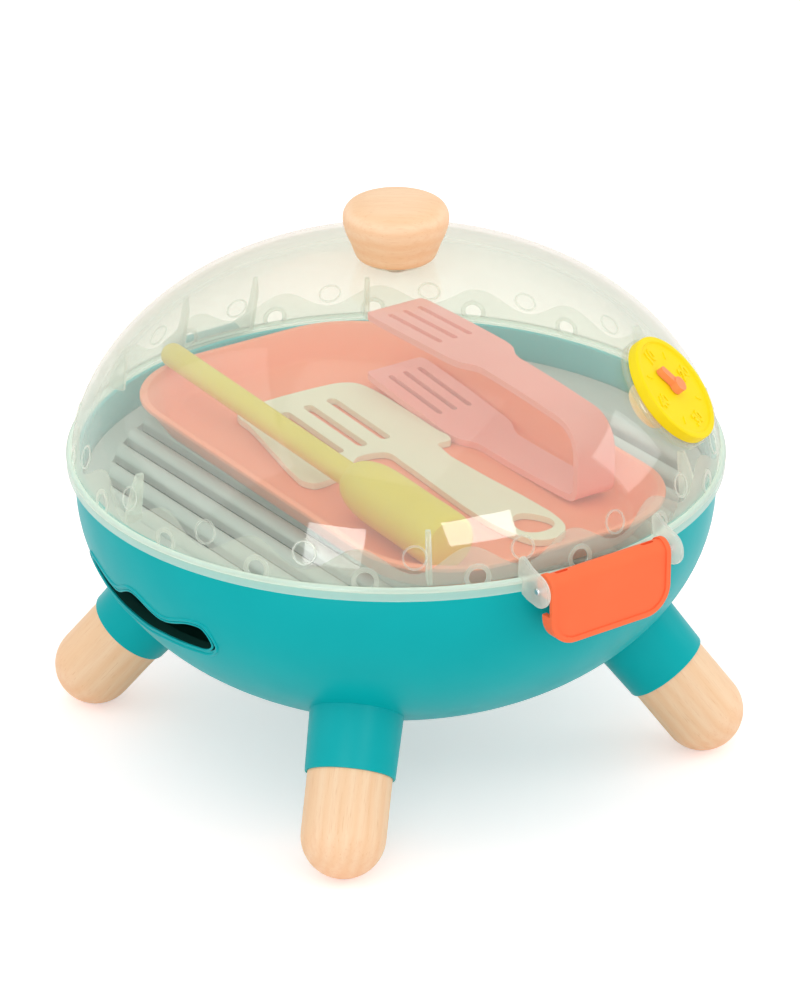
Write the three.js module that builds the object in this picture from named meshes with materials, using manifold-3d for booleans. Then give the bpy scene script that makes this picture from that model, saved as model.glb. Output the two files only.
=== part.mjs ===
// A toy barbecue grill: a round bowl on four wooden legs, with a clear hinged lid, a front latch,
// a dial with a turning pointer, a grate, a tray and three tools.
// Millimetres, +Z up. The origin is on the floor under the bowl's centre, and the latch faces -Y.

import * as THREE from 'three';
import { mergeVertices } from 'three/addons/utils/BufferGeometryUtils.js';
import Module from 'manifold-3d';

const wasm = await Module();
wasm.setup();

// Clearances and steps

const gap = 0.3;
const overrun = 3;
const largeSteps = 56;
const middleSteps = 24;
const smallSteps = 16;
const tinySteps = 10;

// The bowl, a moulded shell whose side curves in as an ellipse below its shoulder

const bowlRadius = 156;
const bowlWall = 2.8;
const bowlShoulder = 135.6;
const bowlDepth = 98;
const bowlDepthShare = 0.9214;
const bowlRimHeight = 15.9;
const bowlCurveSteps = 7;
const ledgeDrop = 3.9;
const ledgeReach = 6.2;
const ledgeChamfer = 7.7;

// The legs and their sockets, which leave the bowl square to its side

const legRadius = 20.3;
const legSplay = 39.5;
const legSeatAngle = 41.9;
const legDirections = [-45, -135, 135, 45];
const footFlatDepth = 0.5;
const legTopChamfer = 1.5;
const socketLength = 29.2;
const socketMouthWall = 1.05;
const socketRootWall = 1.8;
const legBossRadius = 7;
const legBossHeight = 1.4;
const legScrewRadius = 2;
const legScrewLength = 22;
const legScrewHeadRadius = 4.5;
const legScrewHeadHeight = 2.5;

// The two vents in the bowl's sides, each a cloud with a raised edge and an inner collar

const ventHalfWidth = 55.7;
const ventHeight = 26.3;
const ventBottom = 93.7;
const ventBorderSide = 3.6;
const ventBorderTop = 2.9;
const ventBorderBottom = 4.5;
const ventEdgeWidth = 1.6;
const ventEdgeRise = 1.5;
const ventCollarWall = 1.6;
const ventCollarDepth = 5;
const ventSteps = 32;
const ventOuterShares = [
  [0, 1], [0.377, 0.715], [0.772, 0.924], [0.925, 0.886], [1, 0.468], [0.952, 0.278],
  [0.874, 0.171], [0.691, 0.114], [0.485, 0.076], [0.264, 0.053], [0, 0],
];
const ventHoleShares = [
  [0, 1], [0.38, 0.63], [0.79, 0.91], [0.935, 0.87], [1, 0.45], [0.955, 0.27],
  [0.874, 0.165], [0.691, 0.11], [0.485, 0.074], [0.264, 0.05], [0, 0],
];

// The lid, a clear dome that stands on the bowl's rim with a skirt outside it

const skirtClearance = 1.2;
const skirtWall = 2.8;
const skirtLap = 4.1;
const shelfThickness = 1.8;
const domeStep = 2.7;
const domeHeight = 96.57;
const domeWall = 2.2;
const domeWidthPower = 0.852;
const domeHeightPower = 1.19;
const domeSteps = 9;
const knobPadRadius = 16;
const knobPadRise = 0.4;
const finCount = 6;
const finThickness = 1.8;
const finReach = 8;
const finHeight = 24;

// The latch, which hangs on a pin between two ears of the lid

const latchPinRadius = 1.6;
const latchPinReach = 10;
const latchPinHeight = 0.3;
const latchRollRadius = 5.2;
const latchHalfWidth = 34.8;
const latchDrop = 29.3;
const latchPlate = 2.5;
const latchCorner = 14;
const latchLipThickness = 2.9;
const latchLipReach = 5.4;
const latchLipHeight = 15.5;
const latchSlotPlace = 25;
const latchSlotLength = 6;
const latchSlotWidth = 1.6;
const latchSlotDepth = 1.2;
const latchEarThickness = 2.2;
const latchEarClearance = 3;
const latchEarTip = 8;
const latchEarRise = 15;
const latchEarRoot = 20;
const latchEarTurns = [110, 290];
const catchHalfWidth = 14;
const catchHeight = 7;

// The rear hinge, a bracket of the bowl between two ears of the lid

const hingePinRadius = 2;
const hingePinReach = 12;
const hingePinDrop = 4.5;
const hingeBracketHalfWidth = 19.6;
const hingeKnuckleRadius = 5.5;
const hingeSkirtClearance = 0.8;
const hingeGussetDrop = 14;
const hingeEarThickness = 2.2;
const hingeEarTip = 6;
const hingeEarClearance = 0.4;
const hingeEarTurns = [-110, 60];
const hingeRibHeight = 30;
const hingeRibDepth = 4;

// The knob, a turned piece of wood held by a screw from inside the lid

const knobHeight = 30.4;
const knobRadius = 25;
const knobOutlineShares = [
  [0.5, 0], [0.62, 0.02], [0.732, 0.063], [0.79, 0.15], [0.852, 0.29], [0.92, 0.42],
  [0.972, 0.54], [1, 0.67], [0.985, 0.78], [0.91, 0.88], [0.76, 0.945], [0.5, 0.983],
];
const knobScrewRadius = 2.2;
const knobScrewDepth = 17;
const knobScrewHeadRadius = 6;
const knobScrewHeadHeight = 3;

// The dial on the lid's shoulder, its pointer and the cap behind it

const dialDirection = -53.2;
const dialSeatAngle = 32.42;
const dialRadius = 28;
const dialThickness = 5.6;
const dialFrontEdge = 0.9;
const dialRimWidth = 2.5;
const dialRimRise = 1.2;
const dialPadRadius = 29.5;
const dialPadWall = 2;
const dialPadRise = 0.6;
const dialBushRadius = 7;
const dialBushLength = 5;
const pointerHubRadius = 4.5;
const pointerWidth = 6.5;
const pointerLength = 14.5;
const pointerThickness = 4.2;
const pointerLean = 18;
const axleRadius = 2.6;
const capRadius = 17;
const capThickness = 10;
const capWall = 2;

// The grate, a round slotted plate with rounded bars on the bowl's ledge

const grateClearance = 0.9;
const grateThickness = 4;
const grateMargin = 12.3;
const barPitch = 15.6;
const slotWidth = 6;
const barRise = 2.5;
const barArcSteps = 6;

// The tray on the grate, a drafted rectangle with large round corners

const trayHalfWidth = 83;
const trayRimClearance = 12.5;
const trayCorner = 58;
const trayHeight = 16.5;
const trayWall = 2.4;
const trayDraft = 7.5;
const trayLipWidth = 3.5;
const trayLipThickness = 2.2;
const trayEdge = 0.7;
const trayFillet = 3;
const trayCentreX = 1.5;
const trayCentreY = 1;
const trayTurn = -1.7;
const trayCornerSteps = 7;

// The spatula, one flat moulding that lies on the tray's floor

const spatulaWidth = 91.6;
const spatulaFrontClearance = 10.8;
const spatulaRearClearance = 36.7;
const spatulaThickness = 3.5;
const spatulaTongsSpacing = 56.9;
const spatulaSlotWidth = 5.5;
const spatulaEyeWidth = 19;
const spatulaEyeLength = 22;
const spatulaOutlineShares = [
  [-0.275, 0.5], [0.334, 0.498], [0.41, 0.485], [0.455, 0.464], [0.478, 0.401], [0.468, 0.237],
  [0.455, 0.13], [0.46, 0.107], [0.455, 0.083], [0.433, 0.067], [0.345, 0.065], [0.335, -0.382],
  [0.302, -0.457], [0.25, -0.486], [0.176, -0.5], [0.11, -0.495], [0.064, -0.479], [0.02, -0.418],
  [0, -0.316], [0.064, 0.032], [0.066, 0.098], [-0.02, 0.117], [-0.097, 0.117], [-0.18, 0.09],
  [-0.259, 0.069], [-0.4, 0.055], [-0.465, 0.058], [-0.495, 0.078], [-0.5, 0.102], [-0.341, 0.41],
  [-0.325, 0.47],
];
const spatulaSlotShares = [
  [0.172, 0.175, 0.211, 0.417], [0.02, 0.175, 0.057, 0.417], [-0.133, 0.175, -0.095, 0.417],
];
const spatulaEyePlaceShare = [0.178, -0.403];
const spatulaEyeShares = [
  [0, 0.5], [-0.16, 0.46], [-0.36, 0.24], [-0.5, -0.08], [-0.45, -0.3], [-0.25, -0.46], [0, -0.5],
  [0.25, -0.46], [0.45, -0.3], [0.5, -0.08], [0.36, 0.24], [0.16, 0.46],
];

// The tongs, one springy strip bent at its closed end and divided there into two arms

const tongsSideClearance = 19;
const tongsFrontClearance = 33.7;
const tongsRearClearance = 46.7;
const tongsTurn = -1.8;
const tongsArmHalfWidth = 11;
const tongsHeadHalfWidth = 17.5;
const tongsThickness = 3.5;
const tongsOpening = 41.4;
const tongsHeelRise = 2.3;
const tongsHeelRadius = 6;
const tongsTopDrop = 2;
const tongsTopRadius = 15;
const tongsSlotWidth = 3;
const tongsSlotPitch = 8.8;
const tongsSlotPlaces = [-1, 0, 1];
const tongsSlotStartShare = 0.69;
const tongsSlotEndShare = 0.94;
const tongsHeadShares = [
  [0, 0.46], [0.2, 0.49], [0.75, 0.53], [0.96, 0.57], [1, 0.62], [1, 0.955], [0.9, 0.988], [0.7, 1],
];
const tongsLowerShares = [[0.5, 0], [0.58, 0.012], [0.75, 0.07], [1, 0.149]];
const tongsUpperShares = [[0.5, 0], [0.58, 0.005], [0.75, 0.028], [1, 0.069]];

// The brush, a stick in a barrel, which leans on the tray's rear lip

const stickRadius = 6.2;
const stickInsert = 15;
const barrelRadius = 14.5;
const barrelLength = 80;
const brushEndInset = 6.4;
const brushEndDip = 0.3;
const brushHeelClearance = 15.7;
const brushSideClearance = 19.5;
const brushSlant = 7.8;
const barrelOutlineShares = [
  [0.6, 0], [0.7, 0.02], [0.82, 0.07], [0.93, 0.15], [0.985, 0.24], [1, 0.34], [1, 0.95],
  [0.94, 0.985], [0.8, 1],
];

// Values that follow from the sizes above

const bowlFoot = bowlShoulder - bowlDepth;
const bowlCurveDepth = bowlDepth / bowlDepthShare;
const bowlRimTop = bowlShoulder + bowlRimHeight;
const bowlInner = bowlRadius - bowlWall;
const ledgeTop = bowlShoulder - ledgeDrop;
const skirtInner = bowlRadius + skirtClearance;
const skirtOuter = skirtInner + skirtWall;
const skirtBottom = bowlRimTop - skirtLap;
const lidSeat = bowlRimTop + gap;
const domeBase = lidSeat + shelfThickness;
const domeRadius = skirtOuter - domeStep;
const domeTop = domeBase + domeHeight;
const latchPinY = -bowlRadius - latchPinReach;
const latchPinZ = bowlRimTop + latchPinHeight;
const hingePinY = bowlRadius + hingePinReach;
const hingePinZ = bowlRimTop - hingePinDrop;
const grateRadius = bowlInner - grateClearance;
const grateBottom = ledgeTop + gap;
const barTop = grateBottom + grateThickness + barRise;
const trayBottom = barTop + gap;
const trayTop = trayBottom + trayHeight;
const trayFloor = trayBottom + trayWall;
const trayHalfLength = bowlInner - trayRimClearance;
const lipOverhang = trayLipWidth - trayWall;
const wallFoot = lipOverhang + trayDraft;
const trayFloorInset = wallFoot + trayWall + trayFillet;
const trayFloorHalfWidth = trayHalfWidth - trayFloorInset;
const trayFloorHalfLength = trayHalfLength - trayFloorInset;
const toolFloor = trayFloor + gap;

// Small tools for solids

function radians(degrees) {
  return THREE.MathUtils.degToRad(degrees);
}

function solid(geometry) {
  const bare = geometry.clone();
  bare.deleteAttribute('normal');
  bare.deleteAttribute('uv');
  const merged = mergeVertices(bare);
  const corners = merged.attributes.position.array;
  const kept = [];
  let volume = 0;
  for (let i = 0; i < merged.index.count; i += 3) {
    const [a, b, c] = [0, 1, 2].map((step) => merged.index.getX(i + step));
    if (a === b || b === c || c === a) {
      continue;
    }
    kept.push(a, b, c);
    const [p, q, r] = [a, b, c].map((v) => new THREE.Vector3().fromArray(corners, v * 3));
    volume += p.dot(q.cross(r));
  }
  if (volume < 0) {
    kept.reverse();
  }
  const mesh = new wasm.Mesh({
    numProp: 3,
    vertProperties: Float32Array.from(corners),
    triVerts: Uint32Array.from(kept),
  });
  return new wasm.Manifold(mesh);
}

function joined(solids) {
  return solids.reduce((sum, next) => sum.add(next));
}

function geometryOf(body) {
  const mesh = body.getMesh();
  const geometry = new THREE.BufferGeometry();
  geometry.setAttribute('position', new THREE.BufferAttribute(mesh.vertProperties, mesh.numProp));
  geometry.setIndex(new THREE.BufferAttribute(mesh.triVerts, 1));
  geometry.computeVertexNormals();
  return geometry;
}

// A profile of [radius, height] pairs turned about +Z
function turned(profile, steps) {
  const points = profile.map(([r, z]) => new THREE.Vector2(r, z));
  return new THREE.LatheGeometry(points, steps).rotateX(Math.PI / 2);
}

function shapeOf(outline) {
  return new THREE.Shape(outline.map(([u, v]) => new THREE.Vector2(u, v)));
}

// An outline in X and Y, from one height to another
function standing(outline, low, high) {
  const geometry = new THREE.ExtrudeGeometry(shapeOf(outline), { depth: high - low, bevelEnabled: false });
  return geometry.translate(0, 0, low);
}

// An outline in Y and Z, from one X to another
function across(outline, low, high) {
  const geometry = new THREE.ExtrudeGeometry(shapeOf(outline), { depth: high - low, bevelEnabled: false });
  const turn = new THREE.Matrix4().set(0, 0, 1, 0, 1, 0, 0, 0, 0, 1, 0, 0, 0, 0, 0, 1);
  return geometry.applyMatrix4(turn).translate(low, 0, 0);
}

// An outline in X and Z, from one Y to another
function along(outline, low, high) {
  const geometry = new THREE.ExtrudeGeometry(shapeOf(outline), { depth: high - low, bevelEnabled: false });
  return geometry.rotateX(Math.PI / 2).translate(0, high, 0);
}

function block(x0, x1, y0, y1, z0, z1) {
  const geometry = new THREE.BoxGeometry(x1 - x0, y1 - y0, z1 - z0);
  return geometry.translate((x0 + x1) / 2, (y0 + y1) / 2, (z0 + z1) / 2);
}

// A round bar on +Z
function post(radius, low, high, steps) {
  return turned([[0, low], [radius, low], [radius, high], [0, high]], steps);
}

// A round bar along X
function bar(radius, low, high, y, z, steps) {
  return post(radius, low, high, steps).rotateY(Math.PI / 2).translate(0, y, z);
}

// Points of an arc about a centre, both ends included
function arc(u, v, radius, start, end, steps) {
  const points = [];
  for (let i = 0; i <= steps; i += 1) {
    const angle = radians(start + ((end - start) * i) / steps);
    points.push([u + radius * Math.cos(angle), v + radius * Math.sin(angle)]);
  }
  return points;
}

// A slot's outline, round at both ends
function slotOutline(x0, y0, x1, y1, halfWidth) {
  const heading = THREE.MathUtils.radToDeg(Math.atan2(y1 - y0, x1 - x0));
  return [
    ...arc(x1, y1, halfWidth, heading - 90, heading + 90, 5),
    ...arc(x0, y0, halfWidth, heading + 90, heading + 270, 5),
  ];
}

function roundedRectangle(halfWidth, halfLength, corner, steps) {
  const x = halfWidth - corner;
  const y = halfLength - corner;
  return [
    ...arc(x, y, corner, 0, 90, steps),
    ...arc(-x, y, corner, 90, 180, steps),
    ...arc(-x, -y, corner, 180, 270, steps),
    ...arc(x, -y, corner, 270, 360, steps),
  ];
}

// Rings of equally many points joined in order, the first and last closed by fans
function lofted(rings) {
  const count = rings[0].length;
  const points = rings.flat();
  const faces = [];
  for (let ring = 0; ring < rings.length - 1; ring += 1) {
    for (let i = 0; i < count; i += 1) {
      const next = (i + 1) % count;
      const low = ring * count;
      const high = low + count;
      faces.push(low + i, low + next, high + i, low + next, high + next, high + i);
    }
  }
  const middles = [rings[0], rings[rings.length - 1]].map((ring) => {
    const sum = ring.reduce((total, point) => total.map((value, axis) => value + point[axis]), [0, 0, 0]);
    return sum.map((value) => value / count);
  });
  points.push(...middles);
  const last = (rings.length - 1) * count;
  for (let i = 0; i < count; i += 1) {
    const next = (i + 1) % count;
    faces.push(points.length - 2, next, i, points.length - 1, last + i, last + next);
  }
  const geometry = new THREE.BufferGeometry();
  geometry.setAttribute('position', new THREE.Float32BufferAttribute(points.flat(), 3));
  geometry.setIndex(faces);
  return geometry;
}

function material(color, roughness, metalness = 0, opacity = 1) {
  return new THREE.MeshStandardMaterial({ color, roughness, metalness, opacity, transparent: opacity < 1 });
}

const grill = new THREE.Group();

function place(name, body, finish, parent = grill) {
  const mesh = new THREE.Mesh(geometryOf(body), finish);
  mesh.name = name;
  parent.add(mesh);
  return mesh;
}

// The bowl's ellipse: a point on its side at an angle below the shoulder, moved in by an inset
function bowlSide(angle, inset) {
  const turn = radians(angle);
  const r = (bowlRadius - inset) * Math.cos(turn);
  const z = bowlShoulder - (bowlCurveDepth - inset) * Math.sin(turn);
  return [r, z];
}

// The side from the foot up to the rim, moved in by an inset
function bowlProfile(inset, rimTop) {
  const sine = (bowlShoulder - bowlFoot - inset) / (bowlCurveDepth - inset);
  const footAngle = THREE.MathUtils.radToDeg(Math.asin(sine));
  const points = [[0, bowlFoot + inset]];
  for (let i = 0; i <= bowlCurveSteps; i += 1) {
    points.push(bowlSide(footAngle * (1 - i / bowlCurveSteps), inset));
  }
  points.push([bowlRadius - inset, rimTop]);
  return points;
}

function bowlSolid(inset, rimTop) {
  return solid(turned([...bowlProfile(inset, rimTop), [0, rimTop]], largeSteps));
}

// The lid's dome: a point at an angle above its base, moved in by an inset
function domePoint(angle, inset) {
  const turn = radians(angle);
  const r = (domeRadius - inset) * Math.max(0, Math.cos(turn)) ** domeWidthPower;
  const z = domeBase + (domeHeight - inset) * Math.sin(turn) ** domeHeightPower;
  return [r, z];
}

function domeProfile(inset) {
  const points = [];
  for (let i = 0; i < domeSteps; i += 1) {
    points.push(domePoint((90 * i) / domeSteps, inset));
  }
  points.push([0, domeTop - inset]);
  return points;
}

// Where a leg's axis leaves the bowl, and the frame that runs up that axis from the foot's centre

const legExit = bowlSide(legSeatAngle, 0);
const footCentreZ = legRadius - footFlatDepth;
const legRun = (legExit[1] - footCentreZ) / Math.cos(radians(legSplay));
const footCentreR = legExit[0] + legRun * Math.sin(radians(legSplay));
const legFrame = new THREE.Matrix4()
  .makeTranslation(footCentreR, 0, footCentreZ)
  .multiply(new THREE.Matrix4().makeRotationY(-radians(legSplay)));
const legBossTop = legRun + bowlWall + legBossHeight;

function onLeg(geometry, direction) {
  return geometry.applyMatrix4(legFrame).rotateZ(radians(direction));
}

// The vents' outlines in Y and Z

function ventOutline(shares, halfWidth, bottom, height) {
  const half = shares.map(([side, rise]) => [side * halfWidth, bottom + rise * height]);
  const other = half.slice(1, -1).reverse().map(([side, z]) => [-side, z]);
  const points = [...half, ...other].map(([side, z]) => new THREE.Vector3(side, z, 0));
  const curve = new THREE.CatmullRomCurve3(points, true, 'centripetal');
  const spaced = curve.getSpacedPoints(ventSteps).slice(0, -1);
  return spaced.map((point) => [bowlRadius * Math.sin(point.x / bowlRadius), point.y]);
}

function ventPrism(outline, inner) {
  return solid(across(outline, inner, bowlRadius + overrun));
}

const ventHoleSize = [
  ventHalfWidth - ventBorderSide,
  ventBottom + ventBorderBottom,
  ventHeight - ventBorderTop - ventBorderBottom,
];

function ventHoleOutline(margin) {
  const [halfWidth, bottom, height] = ventHoleSize;
  return ventOutline(ventHoleShares, halfWidth + margin, bottom - margin, height + 2 * margin);
}

// The bowl with its ledge, sockets, vents and hinge bracket, and the catch on its front

const bowlInside = bowlSolid(bowlWall, bowlRimTop + overrun);
const ledgeRadius = bowlInner - ledgeReach;
const ledge = solid(turned([
  [bowlInner + bowlWall / 2, ledgeTop],
  [ledgeRadius, ledgeTop],
  [ledgeRadius, ledgeTop - bowlWall],
  [bowlInner + bowlWall / 2, ledgeTop - bowlWall - ledgeChamfer],
  [bowlInner + bowlWall / 2, ledgeTop],
], largeSteps)).intersect(bowlSolid(0, bowlRimTop));

const legBore = legRadius + gap;
const sockets = legDirections.map((direction) => {
  const start = legRun - socketLength;
  const end = legRun + bowlWall + overrun;
  const profile = [
    [0, start],
    [legBore + socketMouthWall, start],
    [legBore + socketRootWall, legRun],
    [legBore + socketRootWall, end],
    [0, end],
  ];
  return solid(onLeg(turned(profile, middleSteps), direction));
});
const legBosses = legDirections.map((direction) => {
  return solid(onLeg(post(legBossRadius, legRun + bowlWall / 2, legBossTop, smallSteps), direction));
});
const legBores = legDirections.map((direction) => {
  return solid(onLeg(post(legBore, legRun - socketLength - overrun, legRun + gap, middleSteps), direction));
});
const legScrewHoles = legDirections.map((direction) => {
  const hole = post(legScrewRadius + gap, legRun - overrun, legBossTop + overrun, tinySteps);
  return solid(onLeg(hole, direction));
});

const ventInner = ventPrism(ventHoleOutline(0), bowlRadius - ventCollarDepth - ventHalfWidth);
const ventEdgeOuter = ventPrism(
  ventOutline(ventOuterShares, ventHalfWidth, ventBottom, ventHeight),
  bowlRadius / 2,
);
const ventEdgeInner = ventPrism(
  ventOutline(
    ventOuterShares,
    ventHalfWidth - ventEdgeWidth,
    ventBottom + ventEdgeWidth,
    ventHeight - 2 * ventEdgeWidth,
  ),
  bowlRadius / 2,
);
const ventEdge = ventEdgeOuter
  .subtract(ventEdgeInner)
  .intersect(bowlSolid(-ventEdgeRise, bowlRimTop))
  .subtract(bowlSolid(bowlWall / 2, bowlRimTop + overrun));
const ventCollar = ventPrism(ventHoleOutline(ventCollarWall), bowlRadius / 2)
  .intersect(bowlSolid(bowlWall / 2, bowlRimTop))
  .subtract(bowlSolid(bowlWall + ventCollarDepth, bowlRimTop + overrun));

const catchBottom = latchPinZ - latchDrop + latchLipThickness + gap;
const latchLipEnd = latchPinY - latchRollRadius + latchPlate + latchLipReach;
const frontCatch = solid(block(
  -catchHalfWidth,
  catchHalfWidth,
  latchLipEnd + gap,
  -bowlInner,
  catchBottom,
  catchBottom + catchHeight,
)).subtract(bowlSolid(-gap, bowlRimTop));
const bracketTop = skirtBottom - hingeSkirtClearance;
const bracket = joined([
  solid(across([
    [bowlInner, bracketTop],
    [bowlInner, bracketTop - hingeGussetDrop],
    [hingePinY, hingePinZ - hingeKnuckleRadius],
    [hingePinY, bracketTop],
  ], -hingeBracketHalfWidth, hingeBracketHalfWidth)),
  solid(bar(
    hingeKnuckleRadius,
    -hingeBracketHalfWidth,
    hingeBracketHalfWidth,
    hingePinY,
    hingePinZ,
    smallSteps,
  )),
]).subtract(solid(bar(
  hingePinRadius + gap,
  -hingeBracketHalfWidth - overrun,
  hingeBracketHalfWidth + overrun,
  hingePinY,
  hingePinZ,
  tinySteps,
)));

const bothVents = (body) => [body, body.rotate([0, 0, 180])];
const bowl = joined([bowlSolid(0, bowlRimTop), ...sockets, bracket, ...bothVents(ventEdge)])
  .subtract(bowlInside)
  .add(joined([ledge, ...legBosses, ...bothVents(ventCollar)]))
  .subtract(joined([...legBores, ...legScrewHoles, ...bothVents(ventInner)]));
const teal = material(0x00b0b5, 0.38);
place('bowl', bowl, teal);
place('catch', frontCatch, teal.clone());

// The legs and their screws

const legProfile = [
  ...arc(0, 0, legRadius, -90, 0, 7),
  [legRadius, legRun - legTopChamfer],
  [legRadius - legTopChamfer, legRun],
  [0, legRun],
];
const legPilot = post(
  legScrewRadius + gap,
  legBossTop - legScrewLength - gap,
  legRun + overrun,
  tinySteps,
);
const underFloor = block(
  0,
  footCentreR + legRadius + overrun,
  -legRadius - overrun,
  legRadius + overrun,
  -legRadius,
  0,
);
const leg = solid(onLeg(turned(legProfile, middleSteps), 0))
  .subtract(solid(onLeg(legPilot, 0)))
  .subtract(solid(underFloor));
const screwHeadSeat = legBossTop + gap;
const legScrewProfile = [
  [0, legBossTop - legScrewLength],
  [legScrewRadius / 2, legBossTop - legScrewLength],
  [legScrewRadius, legBossTop - legScrewLength + legScrewRadius],
  [legScrewRadius, screwHeadSeat],
  [legScrewHeadRadius, screwHeadSeat],
  [legScrewHeadRadius, screwHeadSeat + legScrewHeadHeight / 2],
  [legScrewHeadRadius / 2, screwHeadSeat + legScrewHeadHeight],
  [0, screwHeadSeat + legScrewHeadHeight],
];
const legScrew = solid(onLeg(turned(legScrewProfile, tinySteps), 0));
const legNames = ['front_right', 'front_left', 'rear_left', 'rear_right'];
legNames.forEach((name, i) => {
  const turn = radians(legDirections[i]);
  place(`leg_${name}`, leg, material(0xfbd9b0, 0.55)).rotation.z = turn;
  place(`leg_screw_${name}`, legScrew, material(0xc4c6c8, 0.35, 1)).rotation.z = turn;
});

// The dial's frame: +Z runs out of the dome, from the point of the dome that carries it

const dialSeat = domePoint(dialSeatAngle, 0);
const dialNear = domePoint(dialSeatAngle + 1, 0);
const dialTilt = Math.atan2(dialSeat[0] - dialNear[0], dialNear[1] - dialSeat[1]);
const dialFrame = new THREE.Matrix4()
  .makeRotationZ(radians(dialDirection))
  .multiply(new THREE.Matrix4().makeTranslation(dialSeat[0], 0, dialSeat[1]))
  .multiply(new THREE.Matrix4().makeRotationY(Math.PI / 2 - dialTilt))
  .multiply(new THREE.Matrix4().makeRotationZ(Math.PI / 2));

// The lid with its skirt, ears, fins and pads

const lidShellProfile = [
  [skirtInner, lidSeat],
  [skirtInner, skirtBottom],
  [skirtOuter, skirtBottom],
  [skirtOuter, domeBase - shelfThickness / 3],
  [skirtOuter - shelfThickness / 3, domeBase],
  ...domeProfile(0),
  [0, domeTop - domeWall],
  ...domeProfile(domeWall).reverse().slice(1),
  [domeRadius - domeWall, lidSeat],
];
const lidShell = solid(turned([...lidShellProfile, lidShellProfile[0]], largeSteps));
const lidInside = solid(turned([
  [0, 0],
  [skirtInner, 0],
  [skirtInner, lidSeat],
  [domeRadius - domeWall, lidSeat],
  ...domeProfile(domeWall),
], largeSteps));

const latchEarInner = latchHalfWidth + latchEarClearance;
const earRoot = latchPinY + latchEarRoot;
const latchEarOutline = [
  [earRoot, latchPinZ + latchEarRise],
  [latchPinY + latchEarTip, latchPinZ + latchEarRise],
  ...arc(latchPinY, latchPinZ, latchEarTip, ...latchEarTurns, 12),
  [earRoot, skirtBottom],
];
const hingeEarInner = hingeBracketHalfWidth + hingeEarClearance;
const hingeEarOutline = [
  [hingePinY - latchEarRoot, skirtBottom],
  ...arc(hingePinY, hingePinZ, hingeEarTip, ...hingeEarTurns, 10),
  [bowlRadius + hingeRibDepth, domeBase + hingeRibHeight / 4],
  [bowlRadius, domeBase + hingeRibHeight / 2],
  [bowlRadius - hingeRibDepth, domeBase + hingeRibHeight],
  [hingePinY - latchEarRoot, domeBase + hingeRibHeight],
];

function earPair(outline, inner, thickness) {
  return [
    solid(across(outline, inner, inner + thickness)),
    solid(across(outline, -inner - thickness, -inner)),
  ];
}

const fins = [];
for (let i = 0; i < finCount; i += 1) {
  const outer = domeRadius - domeWall / 2;
  const outline = [
    [outer - finReach, domeBase],
    [outer, domeBase],
    [outer, domeBase + finHeight],
    [outer - finReach * 0.6, domeBase + finHeight],
  ];
  const fin = along(outline, -finThickness / 2, finThickness / 2).rotateZ((i * 2 * Math.PI) / finCount);
  fins.push(solid(fin));
}
const domeFilled = solid(turned([
  [0, lidSeat],
  [domeRadius - domeWall / 2, lidSeat],
  ...domeProfile(domeWall / 2),
], largeSteps));

const knobPad = post(knobPadRadius, domeTop - domeWall - knobPadRise, domeTop + knobPadRise, middleSteps);
const dialPad = turned([
  [dialPadRadius - dialPadWall, -dialThickness - overrun],
  [dialPadRadius, -dialThickness - overrun],
  [dialPadRadius, dialPadRise],
  [dialPadRadius - dialPadWall, dialPadRise],
  [dialPadRadius - dialPadWall, -dialThickness - overrun],
], middleSteps).applyMatrix4(dialFrame);
const dialBushHole = post(
  dialBushRadius + gap,
  -dialBushLength - overrun,
  dialThickness,
  smallSteps,
).applyMatrix4(dialFrame);

const latchPinHole = bar(
  latchPinRadius + gap,
  -latchEarInner - latchEarThickness - overrun,
  latchEarInner + latchEarThickness + overrun,
  latchPinY,
  latchPinZ,
  tinySteps,
);
const hingePinHole = bar(
  hingePinRadius + gap,
  -hingeEarInner - hingeEarThickness - overrun,
  hingeEarInner + hingeEarThickness + overrun,
  hingePinY,
  hingePinZ,
  tinySteps,
);
const skirtNotch = block(
  -latchEarInner,
  latchEarInner,
  -skirtOuter - overrun,
  -bowlRadius / 2,
  skirtBottom - overrun,
  lidSeat,
);

const lid = joined([
  lidShell,
  joined([
    ...earPair(latchEarOutline, latchEarInner, latchEarThickness),
    ...earPair(hingeEarOutline, hingeEarInner, hingeEarThickness),
    solid(knobPad),
    solid(dialPad),
  ]).subtract(lidInside),
  joined(fins).intersect(domeFilled),
]).subtract(joined([
  solid(latchPinHole),
  solid(hingePinHole),
  solid(skirtNotch),
  solid(dialBushHole),
  solid(post(knobScrewRadius + gap, domeBase, domeTop + knobPadRise + overrun, tinySteps)),
]));
place('lid', lid, material(0xddf0e0, 0.12, 0, 0.35));

// The pins, each a plain rod that ends just outside its ears

function pin(radius, reach, y, z) {
  return solid(bar(radius, -reach, reach, y, z, tinySteps));
}

const steel = material(0xc4c6c8, 0.35, 1);
place(
  'hinge_pin',
  pin(hingePinRadius, hingeEarInner + hingeEarThickness + gap, hingePinY, hingePinZ),
  steel.clone(),
);
place(
  'latch_pin',
  pin(latchPinRadius, latchEarInner + latchEarThickness + gap, latchPinY, latchPinZ),
  steel.clone(),
);

// The latch: a roll round its pin, a plate and a lip that follows the plate's lower edge

const latchFace = latchPinY - latchRollRadius;
const latchBottom = latchPinZ - latchDrop;

function latchOutline(inset, top) {
  const half = latchHalfWidth - inset;
  const corner = latchCorner - inset;
  const low = latchBottom + inset;
  return [
    ...arc(-half + corner, low + corner, corner, 180, 270, 6),
    ...arc(half - corner, low + corner, corner, 270, 360, 6),
    [half, top],
    [-half, top],
  ];
}

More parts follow.
